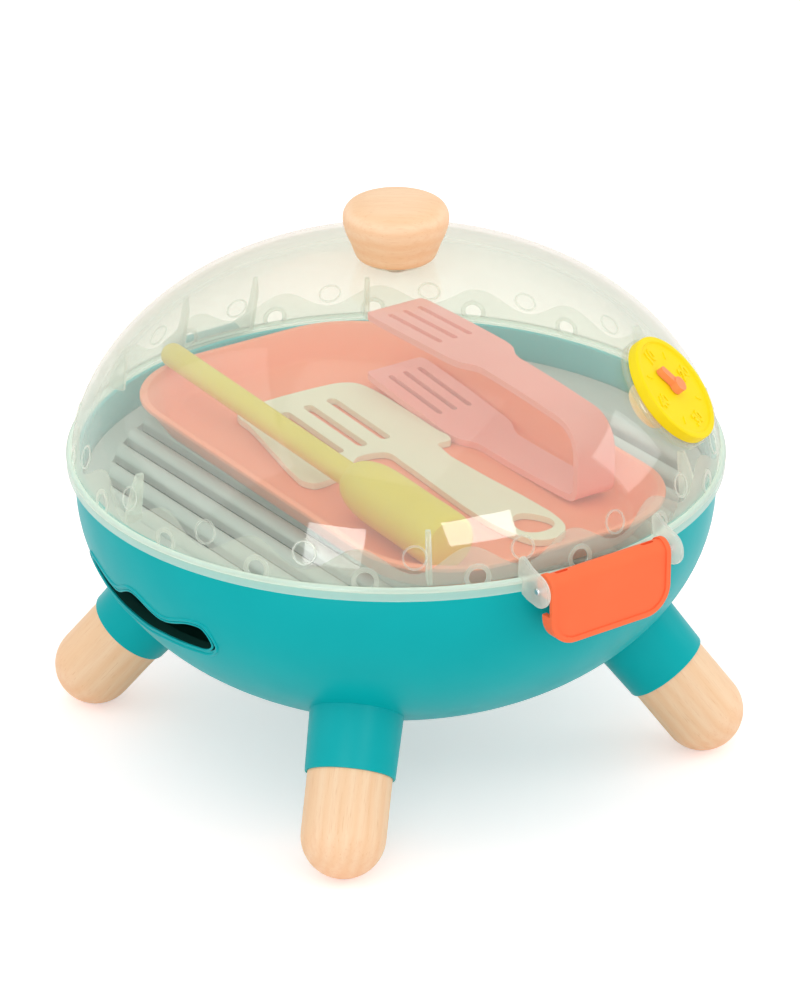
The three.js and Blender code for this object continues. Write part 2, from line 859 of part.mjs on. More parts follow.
const latchLip = solid(along(
  latchOutline(0, latchBottom + latchLipHeight),
  latchFace,
  latchLipEnd,
)).subtract(solid(along(
  latchOutline(latchLipThickness, latchBottom + latchLipHeight + overrun),
  latchFace + latchPlate,
  latchLipEnd + overrun,
)));
const latchSlots = [-latchSlotPlace, latchSlotPlace].map((x) => solid(block(
  x - latchSlotLength / 2,
  x + latchSlotLength / 2,
  latchPinY - latchSlotWidth / 2,
  latchPinY + latchSlotWidth / 2,
  latchPinZ + latchRollRadius - latchSlotDepth,
  latchPinZ + latchRollRadius + overrun,
)));
const latch = joined([
  solid(along(latchOutline(0, latchPinZ), latchFace, latchFace + latchPlate)),
  solid(bar(latchRollRadius, -latchHalfWidth, latchHalfWidth, latchPinY, latchPinZ, smallSteps)),
  latchLip,
]).subtract(joined([
  solid(bar(
    latchPinRadius + gap,
    -latchHalfWidth - overrun,
    latchHalfWidth + overrun,
    latchPinY,
    latchPinZ,
    tinySteps,
  )),
  ...latchSlots,
]));
place('latch', latch, material(0xff7d50, 0.42));

// The knob and its screw

const knobBase = domeTop + knobPadRise + gap;
const knobProfile = knobOutlineShares.map(([side, rise]) => [
  side * knobRadius,
  knobBase + rise * knobHeight,
]);
const knobPilot = post(
  knobScrewRadius + gap,
  knobBase - overrun,
  knobBase + knobScrewDepth + gap,
  tinySteps,
);
const knob = solid(turned([[0, knobBase], ...knobProfile, [0, knobBase + knobHeight]], middleSteps))
  .subtract(solid(knobPilot));
place('knob', knob, material(0xfbd9b0, 0.55));

const knobScrewSeat = domeTop - domeWall - gap;
const knobScrew = turned([
  [0, knobScrewSeat - knobScrewHeadHeight],
  [knobScrewHeadRadius / 2, knobScrewSeat - knobScrewHeadHeight],
  [knobScrewHeadRadius, knobScrewSeat - knobScrewHeadHeight / 2],
  [knobScrewHeadRadius, knobScrewSeat],
  [knobScrewRadius, knobScrewSeat],
  [knobScrewRadius, knobBase + knobScrewDepth - knobScrewRadius],
  [knobScrewRadius / 2, knobBase + knobScrewDepth],
  [0, knobBase + knobScrewDepth],
], tinySteps);
place('knob_screw', solid(knobScrew), steel.clone());

// The dial, its pointer and the cap with the axle, all in the dial's frame

const dialGroup = new THREE.Group();
dialGroup.applyMatrix4(dialFrame);
grill.add(dialGroup);

const dialBack = dialPadRise + gap;
const dialFront = dialBack + dialThickness;
const dialFace = dialFront - dialRimRise;
const dial = solid(turned([
  [0, dialBack - dialBushLength],
  [dialBushRadius, dialBack - dialBushLength],
  [dialBushRadius, dialBack],
  [dialRadius, dialBack],
  [dialRadius, dialFront - dialFrontEdge],
  [dialRadius - dialFrontEdge, dialFront],
  [dialRadius - dialFrontEdge - dialRimWidth, dialFront],
  [dialRadius - dialFrontEdge - dialRimWidth - dialFrontEdge, dialFace],
  [0, dialFace],
], middleSteps)).subtract(
  solid(post(axleRadius + gap, dialBack - dialBushLength - overrun, dialFront + overrun, tinySteps)),
);
place('dial', dial, material(0xffe81e, 0.42), dialGroup);

const pointerBase = dialFace + gap;
const pointerTop = pointerBase + dialRimRise + pointerThickness;
const axleEnd = pointerTop - 2 * dialFrontEdge;
const pointerArm = standing(
  slotOutline(0, 0, 0, pointerLength - pointerWidth / 2, pointerWidth / 2),
  pointerBase,
  pointerTop,
).rotateZ(radians(pointerLean));
const pointer = joined([
  solid(post(pointerHubRadius, pointerBase, pointerTop, smallSteps)),
  solid(pointerArm),
]).subtract(solid(post(axleRadius + gap, pointerBase - overrun, axleEnd + gap, tinySteps)));
place('dial_pointer', pointer, material(0xff9150, 0.42), dialGroup);

const capTop = dialBack - dialBushLength - gap;
const cap = solid(turned([
  [0, capTop - capThickness],
  [capRadius - capWall, capTop - capThickness],
  [capRadius, capTop - capThickness + capWall],
  [capRadius, capTop],
  [axleRadius, capTop],
  [axleRadius, axleEnd],
  [0, axleEnd],
], middleSteps));
place('dial_hub', cap, material(0xfce2ae, 0.5), dialGroup);

// The grate: slots between bars along Y, which end on a plain margin

const barReach = grateRadius - grateMargin;
const barCount = 2 * Math.floor((barReach - slotWidth) / barPitch) + 1;
const slots = [];
const bars = [];
for (let i = 0; i < barCount; i += 1) {
  const centre = (i - (barCount - 1) / 2) * barPitch;
  const halfBar = (barPitch - slotWidth) / 2;
  const crest = arc(0, 0, 1, 0, 180, barArcSteps).map(([side, rise]) => [
    centre + side * halfBar,
    grateBottom + grateThickness - gap + rise * (barRise + gap),
  ]);
  bars.push(solid(along(crest, -barReach, barReach)));
  if (i > 0) {
    const middle = centre - barPitch / 2;
    slots.push(solid(block(
      middle - slotWidth / 2,
      middle + slotWidth / 2,
      -barReach,
      barReach,
      grateBottom - overrun,
      grateBottom + grateThickness + overrun,
    )));
  }
}
const slotField = solid(post(barReach, grateBottom - overrun, barTop + overrun, largeSteps));
const grate = solid(post(grateRadius, grateBottom, grateBottom + grateThickness, largeSteps))
  .subtract(joined(slots).intersect(slotField))
  .add(joined(bars).intersect(slotField));
place('grate', grate, material(0xb5b8b5, 0.5));

// The tray, one loft from the bottom's middle over the lip to the floor's middle

const trayFrame = new THREE.Group();
trayFrame.position.set(trayCentreX, trayCentreY, 0);
trayFrame.rotation.z = radians(trayTurn);
grill.add(trayFrame);

function trayRing(inset, z) {
  const outline = roundedRectangle(
    trayHalfWidth - inset,
    trayHalfLength - inset,
    trayCorner - inset,
    trayCornerSteps,
  );
  return outline.map(([x, y]) => [x, y, z]);
}

const tray = solid(lofted([
  trayRing(wallFoot + trayFillet, trayBottom),
  trayRing(wallFoot + trayFillet / 4, trayBottom + trayFillet / 4),
  trayRing(wallFoot, trayBottom + trayFillet),
  trayRing(lipOverhang, trayTop - trayLipThickness),
  trayRing(0, trayTop - trayLipThickness),
  trayRing(0, trayTop - trayEdge),
  trayRing(trayEdge, trayTop),
  trayRing(trayLipWidth - trayEdge, trayTop),
  trayRing(trayLipWidth, trayTop - trayEdge),
  trayRing(wallFoot + trayWall, trayFloor + trayFillet),
  trayRing(wallFoot + trayWall + trayFillet / 4, trayFloor + trayFillet / 4),
  trayRing(trayFloorInset, trayFloor),
]));
place('tray', tray, material(0xf9957a, 0.5), trayFrame);

// The spatula on the tray's floor

const tongsX = trayCentreX + trayFloorHalfWidth - tongsSideClearance;
const spatulaCentreX = tongsX - spatulaTongsSpacing;
const spatulaCentreY = trayCentreY + (spatulaFrontClearance - spatulaRearClearance) / 2;
const spatulaLength = 2 * trayFloorHalfLength - spatulaFrontClearance - spatulaRearClearance;

function spatulaPoint([side, run]) {
  return [spatulaCentreX + side * spatulaWidth, spatulaCentreY + run * spatulaLength];
}

const [eyeX, eyeY] = spatulaPoint(spatulaEyePlaceShare);
const spatulaCuts = [
  spatulaEyeShares.map(([side, run]) => [eyeX + side * spatulaEyeWidth, eyeY + run * spatulaEyeLength]),
  ...spatulaSlotShares.map(([side0, run0, side1, run1]) => {
    const [x0, y0] = spatulaPoint([side0, run0]);
    const [x1, y1] = spatulaPoint([side1, run1]);
    return slotOutline(x0, y0, x1, y1, spatulaSlotWidth / 2);
  }),
].map((outline) => solid(standing(outline, toolFloor - overrun, toolFloor + spatulaThickness + overrun)));
const spatulaOutline = spatulaOutlineShares.map(spatulaPoint);
const spatula = solid(standing(spatulaOutline, toolFloor, toolFloor + spatulaThickness))
  .subtract(joined(spatulaCuts));
place('spatula', spatula, material(0xdedac8, 0.5));

// The tongs, in a frame at their closed end with +Y towards the heads

const tongsY = trayCentreY - trayFloorHalfLength + tongsFrontClearance;
const tongsLength = 2 * trayFloorHalfLength - tongsFrontClearance - tongsRearClearance;
const tongsGroup = new THREE.Group();
tongsGroup.position.set(tongsX, tongsY, toolFloor);
tongsGroup.rotation.z = radians(tongsTurn);
grill.add(tongsGroup);

const tongsWallY = tongsThickness / 2;
const tongsFloorZ = tongsThickness / 2;
const tongsHeelZ = tongsFloorZ + tongsHeelRise;
const tongsTopZ = tongsFloorZ + tongsOpening - tongsTopDrop;
const tongsSeamZ = (tongsHeelZ + tongsTopZ) / 2;

const tongsSide = [
  [tongsArmHalfWidth, -overrun],
  ...tongsHeadShares.map(([side, run]) => [
    tongsArmHalfWidth + side * (tongsHeadHalfWidth - tongsArmHalfWidth),
    run * tongsLength,
  ]),
];
const tongsPlan = [...tongsSide, ...tongsSide.map(([x, y]) => [-x, y]).reverse()];
const tongsSlots = joined(tongsSlotPlaces.map((place) => solid(standing(
  slotOutline(
    place * tongsSlotPitch,
    tongsSlotStartShare * tongsLength,
    place * tongsSlotPitch,
    tongsSlotEndShare * tongsLength,
    tongsSlotWidth / 2,
  ),
  -overrun,
  tongsOpening + 2 * overrun,
))));

// A strip of even thickness along a path in Y and Z, cut to the tongs' plan
function tongsArm(path) {
  const half = tongsThickness / 2;
  const sides = path.map((point, i) => {
    const before = path[Math.max(0, i - 1)];
    const after = path[Math.min(path.length - 1, i + 1)];
    const length = Math.hypot(after[0] - before[0], after[1] - before[1]);
    const normal = [-(after[1] - before[1]) / length, (after[0] - before[0]) / length];
    return [1, -1].map((side) => [point[0] + side * half * normal[0], point[1] + side * half * normal[1]]);
  });
  const outline = [...sides.map((pair) => pair[0]), ...sides.map((pair) => pair[1]).reverse()];
  return solid(across(outline, -tongsHeadHalfWidth - overrun, tongsHeadHalfWidth + overrun))
    .intersect(solid(standing(tongsPlan, -overrun, tongsOpening + 2 * overrun)))
    .subtract(tongsSlots);
}

const tongsPink = material(0xf6aba4, 0.5);
const lowerArm = tongsArm([
  [tongsWallY, tongsSeamZ - gap / 2],
  ...arc(tongsWallY + tongsHeelRadius, tongsHeelZ + tongsHeelRadius, tongsHeelRadius, 180, 270, 4),
  ...tongsLowerShares.map(([run, rise]) => [run * tongsLength, tongsFloorZ + rise * tongsOpening]),
]);
const upperArm = tongsArm([
  [tongsWallY, tongsSeamZ + gap / 2],
  ...arc(tongsWallY + tongsTopRadius, tongsTopZ - tongsTopRadius, tongsTopRadius, 180, 90, 6),
  ...tongsUpperShares.map(([run, drop]) => [
    run * tongsLength,
    tongsFloorZ + tongsOpening - drop * tongsOpening,
  ]),
]);
place('tongs_lower_arm', lowerArm, tongsPink, tongsGroup);
place('tongs_upper_arm', upperArm, tongsPink.clone(), tongsGroup);

// The brush, in a frame at its far end with +Z down its length

const brushHeelX = trayCentreX - trayFloorHalfWidth + brushSideClearance;
const brushHeelY = trayCentreY - trayFloorHalfLength + brushHeelClearance;
const brushEndX = brushHeelX + brushSlant;
const brushEndY = trayCentreY + trayHalfLength - brushEndInset;
const brushEnd = new THREE.Vector3(brushEndX, brushEndY, trayTop + gap + stickRadius - brushEndDip);
const brushHeel = new THREE.Vector3(brushHeelX, brushHeelY, toolFloor + barrelRadius);
const brushRun = brushHeel.clone().sub(brushEnd);
const brushGroup = new THREE.Group();
brushGroup.position.copy(brushEnd);
brushGroup.quaternion.setFromUnitVectors(new THREE.Vector3(0, 0, 1), brushRun.clone().normalize());
grill.add(brushGroup);

const barrelStart = brushRun.length() - barrelLength;
const stickEnd = barrelStart + stickInsert;
const stick = solid(turned([
  ...arc(0, 0, stickRadius, -90, 0, 5),
  [stickRadius, stickEnd],
  [0, stickEnd],
], smallSteps));
place('brush_stick', stick, material(0xdecb6a, 0.5), brushGroup);

const barrelProfile = barrelOutlineShares.map(([side, run]) => [
  side * barrelRadius,
  barrelStart + run * barrelLength,
]);
const barrel = solid(turned([
  [0, barrelStart],
  ...barrelProfile,
  [0, barrelStart + barrelLength],
], middleSteps)).subtract(
  solid(post(stickRadius + gap, barrelStart - overrun, stickEnd + gap, smallSteps)),
);
place('brush_barrel', barrel, material(0xdecb6a, 0.5), brushGroup);

export default grill;
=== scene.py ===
# %% [markdown]
# # A toy barbecue grill
# A round bowl on four wooden legs carries a clear hinged lid. Under the lid lie a grate, a
# tray and three play tools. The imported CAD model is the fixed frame: it says where each piece
# is and how it moves. This script models the fine shapes and the finishes on it.

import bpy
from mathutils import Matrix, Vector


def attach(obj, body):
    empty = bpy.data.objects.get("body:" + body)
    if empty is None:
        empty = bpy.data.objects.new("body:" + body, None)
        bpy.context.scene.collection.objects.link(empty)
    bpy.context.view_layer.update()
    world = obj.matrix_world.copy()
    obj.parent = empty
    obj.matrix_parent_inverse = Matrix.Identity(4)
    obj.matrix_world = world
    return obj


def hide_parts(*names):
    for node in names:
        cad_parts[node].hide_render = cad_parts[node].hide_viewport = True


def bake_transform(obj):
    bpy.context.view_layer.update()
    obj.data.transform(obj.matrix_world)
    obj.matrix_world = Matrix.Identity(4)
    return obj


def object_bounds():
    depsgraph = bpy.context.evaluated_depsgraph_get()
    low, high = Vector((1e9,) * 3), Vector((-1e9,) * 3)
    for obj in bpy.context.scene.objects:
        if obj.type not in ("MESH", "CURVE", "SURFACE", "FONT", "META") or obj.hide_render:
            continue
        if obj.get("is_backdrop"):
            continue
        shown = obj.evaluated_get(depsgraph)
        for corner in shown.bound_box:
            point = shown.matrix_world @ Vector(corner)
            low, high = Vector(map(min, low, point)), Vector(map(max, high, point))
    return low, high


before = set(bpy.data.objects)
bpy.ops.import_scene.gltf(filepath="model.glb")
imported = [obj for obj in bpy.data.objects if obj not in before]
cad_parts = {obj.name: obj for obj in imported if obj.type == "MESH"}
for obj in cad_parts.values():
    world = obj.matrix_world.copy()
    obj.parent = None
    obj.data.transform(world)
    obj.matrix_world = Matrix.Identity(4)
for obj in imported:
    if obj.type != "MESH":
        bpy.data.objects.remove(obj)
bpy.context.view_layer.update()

# %% [markdown]
# ## Working as by hand
# An operator acts on all that is selected, so everything is deselected first, and points,
# edges and faces are then picked by their place. Sizes are written in millimetres.

# %% Select, modify and copy
import math

import bmesh
import bpy
from mathutils import Matrix, Vector

MM = 0.001


def clear_selection():
    if bpy.context.object and bpy.context.object.mode != "OBJECT":
        bpy.ops.object.mode_set(mode="OBJECT")
    bpy.ops.object.select_all(action="DESELECT")


def work_on(piece, mode="OBJECT"):
    clear_selection()
    piece.select_set(True)
    bpy.context.view_layer.objects.active = piece
    bpy.ops.object.mode_set(mode=mode)
    return piece


def begin(name):
    """Names the primitive just added and opens it in edit mode, all of it selected."""
    piece = bpy.context.object
    piece.name = piece.data.name = name
    bpy.ops.object.mode_set(mode="EDIT")
    bpy.ops.mesh.select_mode(type="VERT")
    bpy.ops.mesh.select_all(action="SELECT")
    return piece


def choose(kind, test):
    """In edit mode, selects the points or faces that the test wants, by middle in mm or item."""
    bpy.ops.mesh.select_mode(type=kind)
    bpy.ops.mesh.select_all(action="DESELECT")
    mesh = bmesh.from_edit_mesh(bpy.context.object.data)
    for item in mesh.verts if kind == "VERT" else mesh.faces:
        corners = [item] if kind == "VERT" else item.verts
        middle = sum((corner.co for corner in corners), Vector()) / len(corners) / MM
        if test(middle, item):
            item.select_set(True)
    mesh.select_flush_mode()
    bmesh.update_edit_mesh(bpy.context.object.data)


def outward():
    """Ends an edit with clean, outward faces."""
    bpy.ops.mesh.select_all(action="SELECT")
    bpy.ops.mesh.remove_doubles(threshold=0.02 * MM)
    bpy.ops.mesh.normals_make_consistent(inside=False)
    bpy.ops.object.mode_set(mode="OBJECT")


def modified(piece, kind, **settings):
    work_on(piece)
    bpy.ops.object.modifier_add(type=kind)
    modifier = piece.modifiers[-1]
    for key, value in settings.items():
        setattr(modifier, key, value)
    bpy.ops.object.modifier_apply(modifier=modifier.name)
    return piece


def combined(piece, other, operation):
    """Unites piece with other, cuts other from it, or keeps what both share."""
    modified(piece, "BOOLEAN", operation=operation, object=other, solver="MANIFOLD")
    bpy.data.objects.remove(other)
    return piece


def cut(piece, tool):
    return combined(piece, tool, "DIFFERENCE")


def united(piece, other):
    return combined(piece, other, "UNION")


def rounded(piece, width, segments=3, angle=35):
    limit = {"limit_method": "ANGLE", "angle_limit": math.radians(angle)}
    return modified(piece, "BEVEL", width=width * MM, segments=segments, **limit)


def smoothed(piece, angle=40, weighted=False):
    work_on(piece)
    bpy.ops.object.shade_smooth_by_angle(angle=math.radians(angle))
    if weighted:
        modified(piece, "WEIGHTED_NORMAL", keep_sharp=True)
    return piece


def placed(piece, matrix):
    """Moves the piece and puts its place into its mesh."""
    work_on(piece)
    piece.matrix_world = matrix @ piece.matrix_world
    bpy.ops.object.transform_apply(location=True, rotation=True, scale=True)
    return piece


def copied(piece, name, matrix=Matrix.Identity(4)):
    work_on(piece)
    bpy.ops.object.duplicate()
    copy = bpy.context.object
    copy.name = copy.data.name = name
    return placed(copy, matrix)


def merged(name, *group):
    clear_selection()
    for piece in group:
        piece.select_set(True)
    bpy.context.view_layer.objects.active = group[0]
    bpy.ops.object.join()
    group[0].name = group[0].data.name = name
    return group[0]


# %% [markdown]
# Most pieces come from one of two starts. A turned piece is a circle that is extruded and
# resized ring by ring, as a potter raises a wall. A flat piece is an outline drawn point by
# point, filled and extruded.

# %% Turn, draw and curve
def at(x, y, z):
    return Matrix.Translation(Vector((x, y, z)) * MM)


def turn(degrees, axis="Z"):
    return Matrix.Rotation(math.radians(degrees), 4, axis)


def lying(y, z):
    """Lays what was turned upright along X, at this place."""
    return at(0, y, z) @ turn(90, "Y")


def turned(name, profile, steps):
    """profile is a list of (radius, height) pairs in mm, on the axis or closed on itself."""
    rings = [(max(radius, 0.004), height) for radius, height in profile]
    clear_selection()
    bpy.ops.mesh.primitive_circle_add(vertices=steps, radius=rings[0][0] * MM)
    piece = begin(name)
    bpy.ops.transform.translate(value=(0, 0, rings[0][1] * MM))
    for (r0, z0), (r1, z1) in zip(rings, rings[1:]):
        bpy.ops.mesh.extrude_region_move(TRANSFORM_OT_translate={"value": (0, 0, (z1 - z0) * MM)})
        if r1 != r0:
            bpy.ops.transform.resize(value=(r1 / r0, r1 / r0, 1), center_override=(0, 0, z1 * MM))
    outward()
    return piece


PLANES = {"XY": (0, 1, 2), "YZ": (1, 2, 0), "XZ": (0, 2, 1)}


def drawn(name, points, plane="XY", level=0.0):
    """Draws a closed line through points of two or three numbers, and stays in edit mode."""
    spots = [Vector() for _ in points]
    for spot, point in zip(spots, points):
        for axis, value in zip(PLANES[plane], (*point, level)):
            spot[axis] = value * MM
    clear_selection()
    bpy.ops.mesh.primitive_plane_add(size=MM)
    piece = begin(name)
    bpy.ops.mesh.merge(type="CENTER")
    bpy.ops.transform.translate(value=spots[0])
    for here, there in zip(spots, spots[1:]):
        bpy.ops.mesh.extrude_vertices_move(TRANSFORM_OT_translate={"value": there - here})
    choose("VERT", lambda _, corner: len(corner.link_edges) == 1)
    bpy.ops.mesh.edge_face_add()
    bpy.ops.mesh.select_all(action="SELECT")
    return piece


def cylinder(name, radius, low, high, steps=32):
    return turned(name, [(0, low), (radius, low), (radius, high), (0, high)], steps)


def slab(name, points, low, high, plane="XY"):
    """A drawn outline, filled and extruded from low to high."""
    piece = drawn(name, points, plane, low)
    bpy.ops.mesh.edge_face_add()
    rise = Vector()
    rise[PLANES[plane][2]] = (high - low) * MM
    bpy.ops.mesh.extrude_region_move(TRANSFORM_OT_translate={"value": rise})
    outward()
    return piece


def curved(points, steps, closed=True):
    """A smooth line through the points, with so many steps between each two."""
    points = [Vector(point) for point in points]
    if closed:
        row = [points[-1], *points, points[0], points[1]]
    else:
        row = [2 * points[0] - points[1], *points, 2 * points[-1] - points[-2]]
    line = []
    for a, b, c, d in zip(row, row[1:], row[2:], row[3:]):
        ta, tb, tc = ((q - p).length ** 0.5 for p, q in ((a, b), (b, c), (c, d)))
        leave = (b - a) / ta - (c - a) / (ta + tb) + (c - b) / tb
        arrive = (c - b) / tb - (d - b) / (tb + tc) + (d - c) / tc
        for i in range(steps):
            t = i / steps
            line.append(
                (2 * t**3 - 3 * t**2 + 1) * b
                + (t**3 - 2 * t**2 + t) * tb * leave
                + (3 * t**2 - 2 * t**3) * c
                + (t**3 - t**2) * tb * arrive
            )
    if not closed:
        line.append(points[-1])
    return [tuple(point) for point in line]


def arc(u, v, radius, start, end, steps):
    angles = (math.radians(start + (end - start) * i / steps) for i in range(steps + 1))
    return [(u + radius * math.cos(a), v + radius * math.sin(a)) for a in angles]


def slot_outline(x0, y0, x1, y1, half_width, steps=8):
    heading = math.degrees(math.atan2(y1 - y0, x1 - x0))
    return [
        *arc(x1, y1, half_width, heading - 90, heading + 90, steps),
        *arc(x0, y0, half_width, heading + 90, heading + 270, steps),
    ]


def tube(name, points, radius):
    """A round bead along a closed line of points."""
    piece = drawn(name, points)
    bpy.ops.object.mode_set(mode="OBJECT")
    bpy.ops.object.convert(target="CURVE")
    piece.data.bevel_depth = radius * MM
    piece.data.bevel_resolution = 3
    bpy.ops.object.convert(target="MESH")
    work_on(piece, "EDIT")
    outward()
    return piece


# %% [markdown]
# ## Finishes
# The toy is injection moulded plastic and turned wood. Colours are written as sRGB hex values
# and turned to linear ones. A mould leaves a fine spark-eroded grain, broad flow marks and
# small differences in gloss, which the plastic finishes share.

# %% Colours, nodes and moulded plastic
def linear(colour):
    channels = [int(colour[i : i + 2], 16) / 255 for i in (1, 3, 5)]
    return (*(c / 12.92 if c <= 0.04045 else ((c + 0.055) / 1.055) ** 2.4 for c in channels), 1.0)


def feed(tree, node, inputs):
    """Gives each input its link or its value."""
    for key, value in inputs.items():
        if isinstance(value, bpy.types.NodeSocket):
            tree.links.new(value, node.inputs[key])
        else:
            node.inputs[key].default_value = value
    return node


def add(tree, kind, inputs=None, **settings):
    """Adds a node with its settings and its inputs."""
    node = tree.nodes.new("ShaderNode" + kind)
    for key, value in settings.items():
        setattr(node, key, value)
    return feed(tree, node, inputs or {})


def new_finish(name):
    finish = bpy.data.materials.new(name)
    finish.use_nodes = True
    return finish, finish.node_tree, finish.node_tree.nodes["Principled BSDF"]


def clouds(tree, spot, size_mm, detail, roughness=0.5):
    inputs = {"Vector": spot, "Scale": 1 / (size_mm * MM), "Detail": detail}
    return add(tree, "TexNoise", {**inputs, "Roughness": roughness}).outputs["Fac"]


def spread(tree, value, low, high, start=0.0, end=1.0, kind="LINEAR"):
    """Maps a value that runs from start to end onto low to high."""
    inputs = {"Value": value, "From Min": start, "From Max": end, "To Min": low, "To Max": high}
    return add(tree, "MapRange", inputs, interpolation_type=kind).outputs["Result"]


def tinted(tree, share, first, second):
    """Mixes two colours, each a hex value or a socket."""
    ends = [linear(end) if isinstance(end, str) else end for end in (first, second)]
    return add(tree, "Mix", {0: share, 6: ends[0], 7: ends[1]}, data_type="RGBA").outputs[2]


def bumped(tree, height, strength, distance_mm):
    inputs = {"Height": height, "Strength": strength, "Distance": distance_mm * MM}
    return add(tree, "Bump", inputs).outputs["Normal"]


def maths(tree, operation, first, second):
    return add(tree, "Math", {0: first, 1: second}, operation=operation).outputs[0]


def two_shaders(tree, share, first, second):
    inputs = {0: share, 1: first.outputs[0], 2: second.outputs[0]}
    return add(tree, "MixShader", inputs)


def moulded(name, colour, deeper, roughness, grain_mm=1.3, relief=0.12):
    """Moulded plastic: two close tones in slow clouds, and the mould's grain as relief."""
    finish, tree, shader = new_finish(name)
    spot = add(tree, "TexCoord").outputs["Object"]
    flow = clouds(tree, spot, 38, 3.0)
    grain = clouds(tree, spot, grain_mm, 2.0)
    looks = {
        "Base Color": tinted(tree, flow, colour, deeper),
        "Roughness": spread(tree, flow, roughness - 0.04, roughness + 0.05, 0.3, 0.7),
        "Normal": bumped(tree, grain, relief, 0.15),
        "IOR": 1.5,
        "Specular IOR Level": 0.1,
    }
    feed(tree, shader, looks)
    return finish


# ABS for the bowl and fittings: even colour and a soft satin light
teal_abs = moulded("teal_abs", "#00B5B9", "#00ACB1", 0.4)
# Painted shade: a dark teal for the bowl's inside below the grate and just inside the vents, where
# little light reaches; the moulding itself is teal throughout.
painted_shade_teal = moulded("teal_abs_painted_shade", "#0B4A42", "#073B34", 0.6)
orange_abs = moulded("orange_abs", "#FF7D4F", "#FC7246", 0.42)
yellow_abs = moulded("yellow_abs", "#FFE81E", "#F7DC10", 0.45)
pointer_abs = moulded("pointer_abs", "#FFA06E", "#FC965F", 0.42)
cream_abs = moulded("cream_abs", "#FFE6B4", "#FADDA6", 0.5)
# polypropylene for the tray and tools: a waxier, softer light
coral_pp = moulded("coral_pp", "#FF9C7C", "#FE9070", 0.5)
pink_pp = moulded("pink_pp", "#FCA8A2", "#F99D97", 0.5)
beige_pp = moulded("beige_pp", "#EFE9D2", "#E7E0C7", 0.5)
olive_pp = moulded("olive_pp", "#E4CD4C", "#DBC23E", 0.5)
grey_pp = moulded("grey_pp", "#C1C7C4", "#B5BCB9", 0.5)
print("moulded finishes:", len(bpy.data.materials))

# %% [markdown]
# The knob and legs are turned from rubberwood, sanded and left pale. Each wooden piece stores
# where it was on the lathe in an attribute named grain, so that its streaks, pores and growth
# bands follow its own length wherever it is placed.

# %% Turned rubberwood
def rubberwood(name):
    finish, tree, shader = new_finish(name)
    grain = add(tree, "Attribute", attribute_name="grain").outputs["Vector"]
    along = add(tree, "Mapping", {"Vector": grain, "Scale": (1, 1, 0.07)}).outputs["Vector"]
    streaks = clouds(tree, along, 1.9, 4.0, 0.6)
    pores = spread(tree, clouds(tree, along, 0.55, 2.0), 0, 0.4, 0.6, 0.74)
    band_inputs = {"Vector": along, "Scale": 0.314 / (6.5 * MM), "Distortion": 3.5}
    band_inputs.update({"Detail": 2.0, "Detail Scale": 1.2})
    bands = add(tree, "TexWave", band_inputs, bands_direction="X").outputs["Fac"]
    pale = tinted(tree, bands, "#FDD9B2", "#FAD0A4")
    warm = tinted(tree, spread(tree, streaks, 0, 0.6, 0.45, 0.75), pale, "#F5C596")
    speckled = tinted(tree, pores, warm, "#E2AC75")
    relief = bumped(tree, streaks, 0.06, 0.2)
    feed(tree, shader, {"Base Color": speckled, "Normal": relief, "Roughness": 0.55})
    return finish


def keep_grain(piece, matrix=Matrix.Identity(4)):
    """Stores where each point is now, seen along the wood's grain."""
    values = [n for corner in piece.data.vertices for n in (matrix @ corner.co)]
    store = piece.data.attributes.new("grain", "FLOAT_VECTOR", "POINT")
    store.data.foreach_set("vector", values)


wood = rubberwood("rubberwood")

# %% [markdown]
# The lid is clear polystyrene with a faint mint tint. A clear moulding shows three things:
# what is behind it, a pale veil where its wall is seen edge on, and mirror-like lights on top.
# So the shader mixes a see-through part with a pale one by the angle of sight, and puts the
# gloss over both. Light from lamps passes through with little loss.

# %% Clear plastic, frosted band and steel
def clear_plastic(name, colour, facing, edge, roughness, through=0.5, shine=(0.04, 0.4)):
    """facing and edge say how much of the pale veil is seen straight on and edge on."""
    finish, tree, shader = new_finish(name)
    spot = add(tree, "TexCoord").outputs["Object"]
    wavy = bumped(tree, clouds(tree, spot, 30, 2.0), 0.1, 0.6)
    tint = linear(colour)
    feed(tree, shader, {"Base Color": tint, "Roughness": 0.5, "Specular IOR Level": 0.0})
    sight = add(tree, "LayerWeight", {"Blend": 0.5}).outputs["Facing"]
    veil = spread(tree, sight, facing, edge, 0.25, 1.0, "SMOOTHSTEP")
    path = add(tree, "LightPath").outputs
    lit = maths(tree, "MAXIMUM", path["Is Shadow Ray"], path["Is Diffuse Ray"])
    kept = maths(tree, "SUBTRACT", 1.0, lit)
    haze = two_shaders(tree, through, shader, add(tree, "BsdfTranslucent", {"Color": tint}))
    window = add(tree, "BsdfTransparent", {"Color": linear("#FDFFFC")})
    body = two_shaders(tree, maths(tree, "MULTIPLY", veil, kept), window, haze)
    gloss = add(tree, "BsdfGlossy", {"Roughness": roughness, "Normal": wavy})
    steep = add(tree, "LayerWeight", {"Blend": 0.5, "Normal": wavy}).outputs["Facing"]
    mirror = spread(tree, maths(tree, "POWER", steep, 4.0), *shine)
    whole = two_shaders(tree, maths(tree, "MULTIPLY", mirror, kept), body, gloss)
    feed(tree, tree.nodes["Material Output"], {"Surface": whole.outputs[0]})
    return finish


clear_styrene = clear_plastic("clear_styrene", "#EFFCF2", 0.12, 0.38, 0.04)
clear_rim = clear_plastic("clear_styrene_rim", "#F1FCF2", 0.4, 0.75, 0.08)
bright_edge = clear_plastic("clear_styrene_edge", "#F4FFF4", 0.75, 0.95, 0.12)
bright_ring = clear_plastic("clear_styrene_ring", "#F4FBF2", 0.3, 0.9, 0.08)
frosted_band = clear_plastic("frosted_band", "#F8FBF8", 0.22, 0.36, 0.3, 0.6, (0.0, 0.04))


